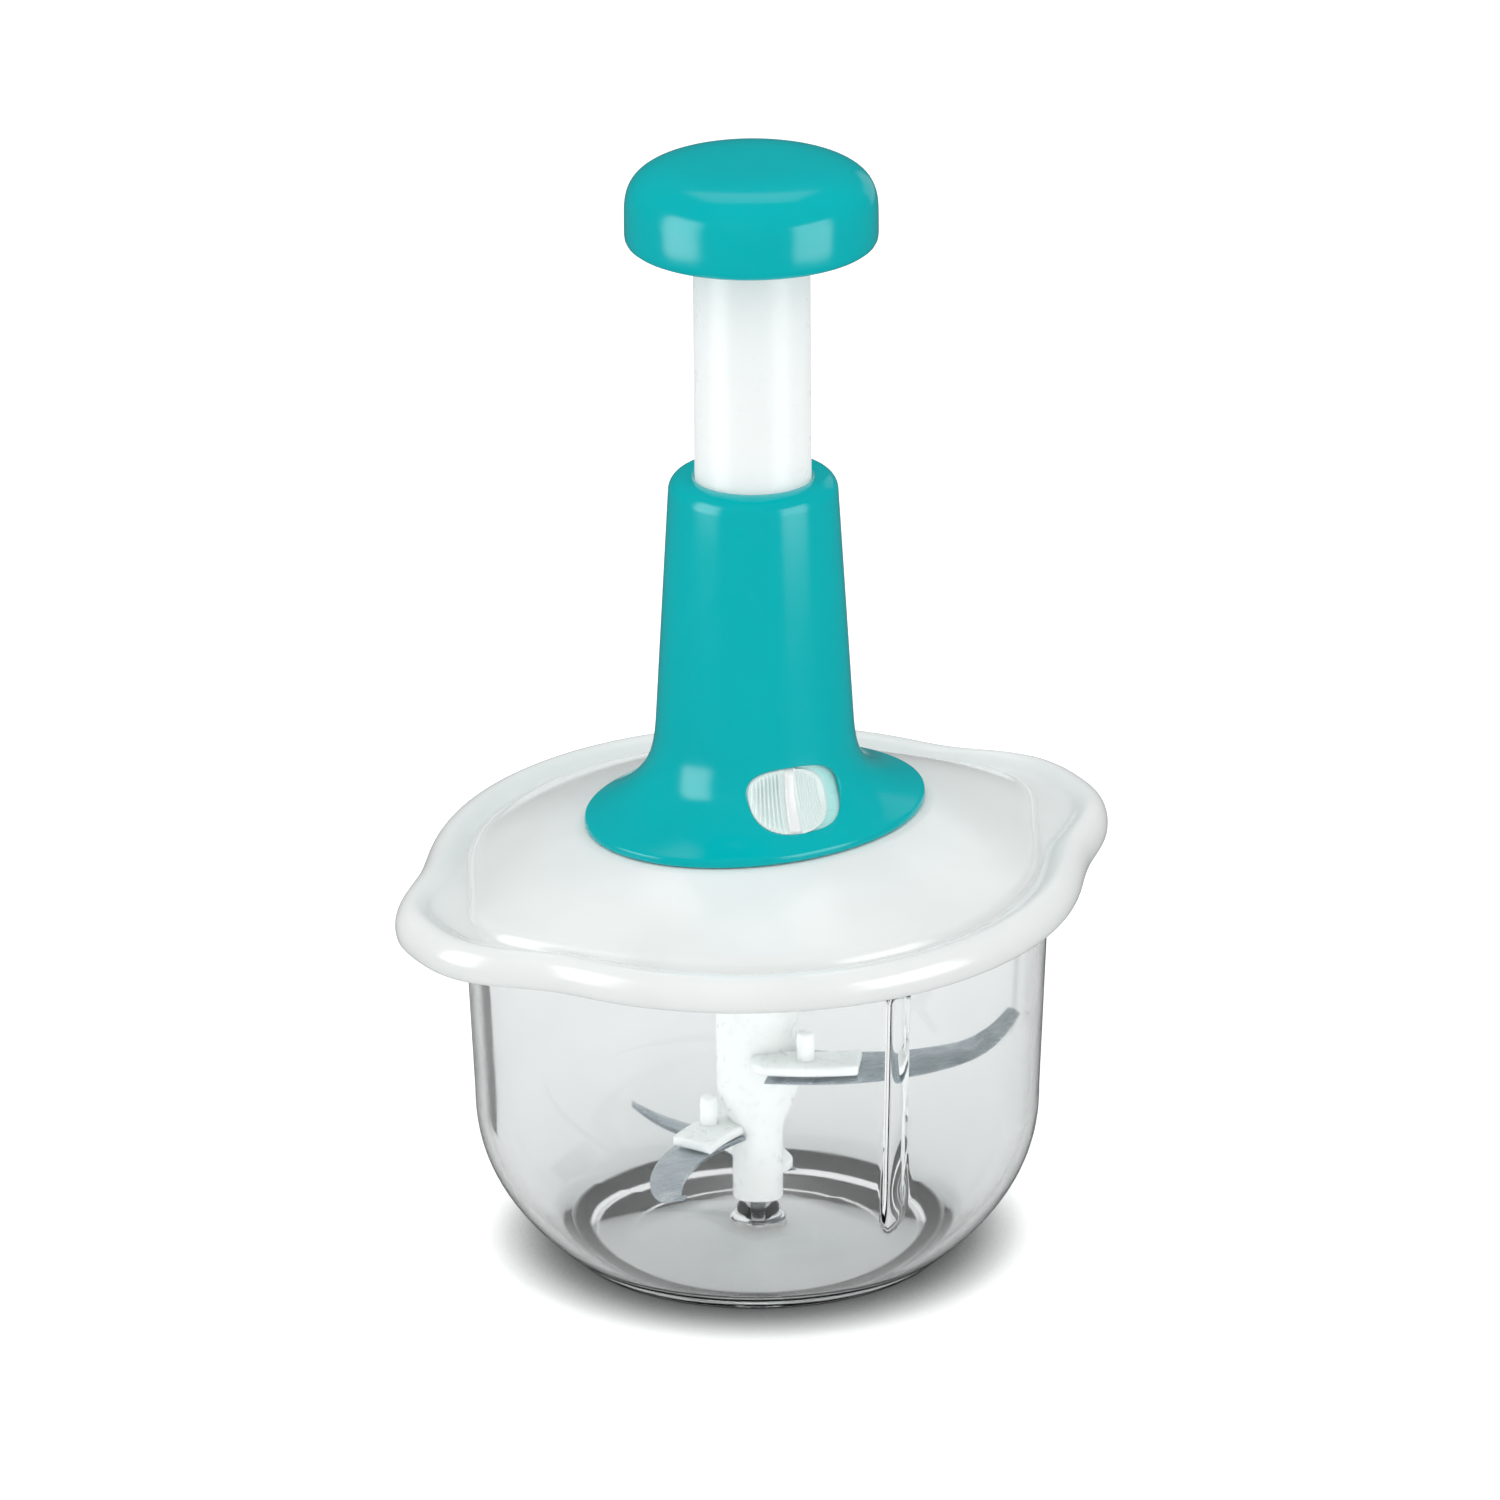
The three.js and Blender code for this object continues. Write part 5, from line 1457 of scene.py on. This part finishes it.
    def build_peg(self, index: int) -> None:
        """Turn the peg that comes up through a blade and its arm."""
        spot = self.lead(index, self.peg_share).lerp(self.trail(index, self.peg_share), self.peg_across)
        low = self.heights[index] - self.gap
        top = self.heights[index] + self.plate + self.gap + self.arm_thickness + self.peg_above
        radius = self.peg_radius
        section = [(0.0, low - 0.9), (2.3, low - 0.9), (2.8, low - 0.6), (3.0, low - 0.1), (3.0, low)]
        section += [(radius, low), (radius, top - 1.1), (radius - 0.15, top - 0.5)]
        section += [(radius - 0.6, top - 0.12), (radius - 1.2, top), (0.0, top)]
        peg = Workpiece.turned(f"peg_{self.names[index]}", section, 40)
        peg.shift(spot.x, spot.y).turn(self.angle(index))
        peg.hand_over(Body.BLADES, Slot.HUB_WHITE, WHITE_ACETAL, f"blade_peg_{self.names[index]}")

    def build_hub(self) -> None:
        """Turn the hub, cut its hexagonal socket and its bore, and set the arms on it."""
        socket = self.hub_top - self.socket_depth
        outer, step, edge, shaft = self.hub_radius, self.hub_step, self.cone_edge, self.shaft_radius
        shoulder = [(outer, self.cone_top + edge), (outer - step, self.cone_top - 0.5)]
        section = [(0.0, self.bore_bottom), (self.bore, self.bore_bottom), (self.bore, socket)]
        section += [(outer - step, socket), (outer - step, self.hub_top), (outer, self.hub_top - step)]
        section += [*curve_through(shoulder, 3), (shaft + 0.25, self.cone_bottom + edge)]
        section += [(shaft, self.cone_bottom - edge), (shaft, self.hub_bottom), *self.foot_bore]
        hub = Workpiece.turned("hub_shaft", section)
        low, reach = socket - step, outer - 0.1
        section = [(0.0, low), (reach, low), (reach, self.hub_top), (0.0, self.hub_top)]
        cup = Workpiece.turned("socket_ring", section)
        corner = self.socket_across / 2 / math.cos(math.pi / 6)
        middle = (socket + self.hub_top) / 2
        cup.combine(Workpiece.cutter("socket_cutter", 6, corner, self.socket_depth + 2, middle))
        hub.add(cup, *[self.build_arm(index) for index in range(len(self.names))])
        hub.hand_over(Body.BLADES, Slot.HUB_WHITE, WHITE_ACETAL, "blade_hub")

    def build(self) -> None:
        """Model the hub with its bush, blades and pegs."""
        self.build_hub()
        bush = Workpiece.turned("hub_sleeve", box(*self.bush), 64).round_edges(0.2)
        bush.hand_over(Body.BLADES, Slot.BUSH_BRASS, TURNED_BRASS, "hub_bush")
        for index in range(len(self.names)):
            self.build_blade(index)
            self.build_peg(index)


@dataclass(frozen=True)
class Softbox:
    """A tall soft lamp that only shows in reflections. Its bearing counts from the camera's."""

    name: str
    bearing: float
    distance: float
    width: float
    low: float
    full: float
    top: float
    strength: float
    soft_side: float = 0.2
    soft_top: float = 0.1
    tilt: float = 0.0

    def material(self) -> bpy.types.Material:
        """Make a glow that fades at the lamp's sides, at its foot and at its top."""
        made = bpy.data.materials.new(self.name)
        tree = fresh_tree(made)
        place = add_node(tree, "TexCoord").outputs["UV"]
        parts = add_node(tree, "SeparateXYZ", inputs={0: place}).outputs
        rise = (self.full - self.low) / (self.top - self.low)
        side = self.soft_side
        spans = (("Y", 0.0, rise), ("Y", 1.0, 1.0 - self.soft_top), ("X", 0.0, side), ("X", 1.0, 1.0 - side))
        value, *fades = [spread(tree, parts[part], 0.0, 1.0, span, "SMOOTHSTEP") for part, *span in spans]
        for factor in (*fades, self.strength):
            value = combined(tree, "MULTIPLY", value, factor)
        light = add_node(tree, "Emission", inputs={"Strength": value})
        add_node(tree, "OutputMaterial", inputs={"Surface": light.outputs["Emission"]})
        return made

    def build(self, azimuth: float) -> None:
        """Stand the lamp beside the object, out of the camera's sight.

        Args:
            azimuth: The camera's bearing in radians.
        """
        bearing = azimuth + math.radians(self.bearing)
        clear_selection()
        bpy.ops.mesh.primitive_plane_add(size=1)
        card = Workpiece(self.name).object
        spot = polar(self.distance, bearing - math.pi / 2, (self.low + self.top) / 2)
        upright = Matrix.Rotation(math.pi / 2 + math.radians(self.tilt), 4, "X")
        size = Matrix.Diagonal((self.width, self.top - self.low, 1, 1))
        place = Matrix.Translation(spot) @ Matrix.Rotation(bearing, 4, "Z")
        card.data.transform(place @ upright @ size)
        card.data.materials.append(self.material())
        card.visible_camera = False
        card.visible_diffuse = False
        card.visible_transmission = False
        card.visible_shadow = False


@dataclass
class Studio:
    """Pale floor, white surroundings, soft lamps and the camera at the photograph's angle."""

    look_height: float = 0.122
    distance: float = 2.56
    pitch: float = math.radians(21.2)
    azimuth: float = math.radians(-29)
    roll: float = math.radians(-0.4)
    sensor: float = 36.0
    focal_pixels: float = 11000.0
    frame_pixels: float = 1500.0
    shift_pixels: float = -5.0
    world_strength: float = 1.05
    world_mirrored: float = 0.05
    world_behind_clear: float = 0.95
    world_into_bowl: float = 2.5
    floor_radius: float = 12.0
    floor_glow: float = 0.4
    floor_glow_through_bowl: float = 0.14
    floor_glow_into_bowl: float = 1.3
    floor_mirrored: float = 0.1
    paper: str = "#e9eaea"
    shadow_reach: float = 0.0152
    shadow_darkest: float = 0.12
    shadow_span: tuple[float, float] = (0.2, 0.85)
    contact_reach: float = 0.0004
    fill_power: float = 3.0
    fill_size: float = 1.0
    fill_bearing: float = -14.0
    fill_distance: float = 1.6
    fill_height: float = 1.5
    fill_target: float = 0.12
    lamps: tuple[Softbox, ...] = (
        Softbox("softbox_left", -65, 0.42, 0.38, 0.076, 0.12, 0.56, 6.4, soft_side=0.3, soft_top=0.3),
        Softbox("softbox_right", 56, 0.5, 0.42, 0.03, 0.095, 0.46, 5.0),
        Softbox("softbox_back", 146, 0.27, 0.16, 0.2, 0.23, 0.34, 0.45),
        Softbox("softbox_top", 180, 0.42, 0.5, 0.7, 0.76, 1.05, 1.1, tilt=-60),
    )

    def build_camera(self) -> None:
        """Set the camera where the photograph was taken from."""
        reach = math.cos(self.pitch)
        back = Vector((math.sin(self.azimuth) * reach, -math.cos(self.azimuth) * reach, math.sin(self.pitch)))
        level = Vector((math.cos(self.azimuth), math.sin(self.azimuth), 0))
        upright = back.cross(level)
        right = level * math.cos(self.roll) + upright * math.sin(self.roll)
        up = upright * math.cos(self.roll) - level * math.sin(self.roll)
        data = bpy.data.cameras.new("camera")
        data.sensor_width = self.sensor
        data.lens = self.sensor * self.focal_pixels / self.frame_pixels
        data.shift_x = self.shift_pixels / self.frame_pixels
        data.clip_start = 0.05
        data.clip_end = 50
        camera = bpy.data.objects.new("camera", data)
        bpy.context.scene.collection.objects.link(camera)
        turn = Matrix((right, up, back)).transposed().to_4x4()
        spot = Vector((0, 0, self.look_height)) + back * self.distance
        camera.matrix_world = Matrix.Translation(spot) @ turn
        bpy.context.scene.camera = camera

    def contact_shade(self, tree: Tree, rays: bpy.types.NodeOutputs) -> Socket:
        """Darken the paper close to the bowl's foot, where little light reaches it.

        Args:
            tree: The paper's tree.
            rays: The outputs of its Light Path node.

        Returns:
            How light the paper is, from 0 to 1.
        """
        near, wide = [
            add_node(tree, "AmbientOcclusion", {"samples": 8}, {"Distance": reach}).outputs["AO"]
            for reach in (self.contact_reach, self.shadow_reach)
        ]
        fall = spread(tree, wide, self.shadow_darkest, 1.0, self.shadow_span)
        return combined(tree, "MULTIPLY", spread(tree, rays["Is Camera Ray"], 1.0, fall), near)

    def build_floor(self) -> None:
        """Lay a wide pale floor that keeps the object's shadow and looks white."""
        clear_selection()
        bpy.ops.mesh.primitive_circle_add(vertices=96, radius=self.floor_radius, fill_type="NGON")
        floor = Workpiece("studio_floor").object
        made = bpy.data.materials.new("pale_paper")
        tree = fresh_tree(made)
        rays = add_node(tree, "LightPath").outputs
        fibre = add_node(tree, "TexNoise", inputs={"Scale": 900.0, "Detail": 3.0}).outputs["Fac"]
        shade = self.contact_shade(tree, rays)
        sheen = spread(tree, fibre, 0.04, 0.06)
        colour = two_tone(tree, shade, "#000000", self.paper)
        inputs = {"Base Color": colour, "Roughness": 0.9, "Specular IOR Level": sheen}
        paper = add_node(tree, "BsdfPrincipled", inputs=inputs).outputs["BSDF"]
        seen = combined(tree, "MULTIPLY", rays["Is Camera Ray"], self.floor_glow)
        through = spread(tree, rays["Diffuse Depth"], self.floor_glow_through_bowl, self.floor_glow_into_bowl)
        behind = spread(tree, rays["Is Transmission Ray"], seen, through)
        glow = combined(tree, "MULTIPLY", shade, behind)
        light = add_node(tree, "Emission", inputs={"Strength": glow}).outputs["Emission"]
        both = add_node(tree, "AddShader", inputs={0: paper, 1: light}).outputs["Shader"]
        dark = add_node(tree, "BsdfDiffuse", inputs={"Color": linear_colour("#000000")}).outputs["BSDF"]
        only = combined(tree, "GREATER_THAN", rays["Is Glossy Ray"], rays["Is Transmission Ray"])
        dim = combined(tree, "MULTIPLY", only, 1 - self.floor_mirrored)
        shown = add_node(tree, "MixShader", inputs={0: dim, 1: both, 2: dark}).outputs["Shader"]
        add_node(tree, "OutputMaterial", inputs={"Surface": shown})
        floor.data.materials.append(made)

    def build_world(self) -> None:
        """Light the object evenly, and show white to the camera and through the clear bowl."""
        world = bpy.data.worlds.new("white_room")
        bpy.context.scene.world = world
        tree = fresh_tree(world)
        rays = add_node(tree, "LightPath").outputs
        strength: float | Socket = self.world_strength
        through = spread(tree, rays["Diffuse Depth"], self.world_behind_clear, self.world_into_bowl)
        for ray, value in (
            ("Is Glossy Ray", self.world_mirrored),
            ("Is Transmission Ray", through),
            ("Is Camera Ray", 1.0),
        ):
            strength = spread(tree, rays[ray], strength, value)
        back = add_node(tree, "Background", inputs={"Color": linear_colour("#ffffff"), "Strength": strength})
        add_node(tree, "OutputWorld", inputs={"Surface": back.outputs["Background"]})

    def build_fill(self) -> None:
        """Hang one wide lamp high in front, which gives the shapes a little modelling and no reflection."""
        data = bpy.data.lights.new("softbox_fill", "AREA")
        data.shape = "RECTANGLE"
        data.size = self.fill_size
        data.size_y = self.fill_size
        data.energy = self.fill_power
        made = bpy.data.objects.new("softbox_fill", data)
        bpy.context.scene.collection.objects.link(made)
        bearing = self.azimuth + math.radians(self.fill_bearing)
        reach = self.fill_distance
        spot = Vector((math.sin(bearing) * reach, -math.cos(bearing) * reach, self.fill_height))
        made.location = spot
        made.rotation_euler = (Vector((0, 0, self.fill_target)) - spot).to_track_quat("-Z", "Y").to_euler()
        made.visible_camera = False
        made.visible_glossy = False
        made.visible_transmission = False

    def build(self) -> None:
        """Set up the whole studio."""
        bpy.context.scene.view_settings.view_transform = "Standard"
        self.build_floor()
        self.build_world()
        self.build_fill()
        for lamp in self.lamps:
            lamp.build(self.azimuth)
        self.build_camera()


def main() -> None:
    """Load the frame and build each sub-assembly in order."""
    logging.basicConfig(level=logging.INFO, format="%(name)s: %(message)s")
    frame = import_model()
    Bowl().build()
    Lid().build()
    Tower().build()
    Plunger().build(frame)
    Drive().build(frame)
    BladeSet().build()
    Studio().build()


if __name__ == "__main__":
    main()
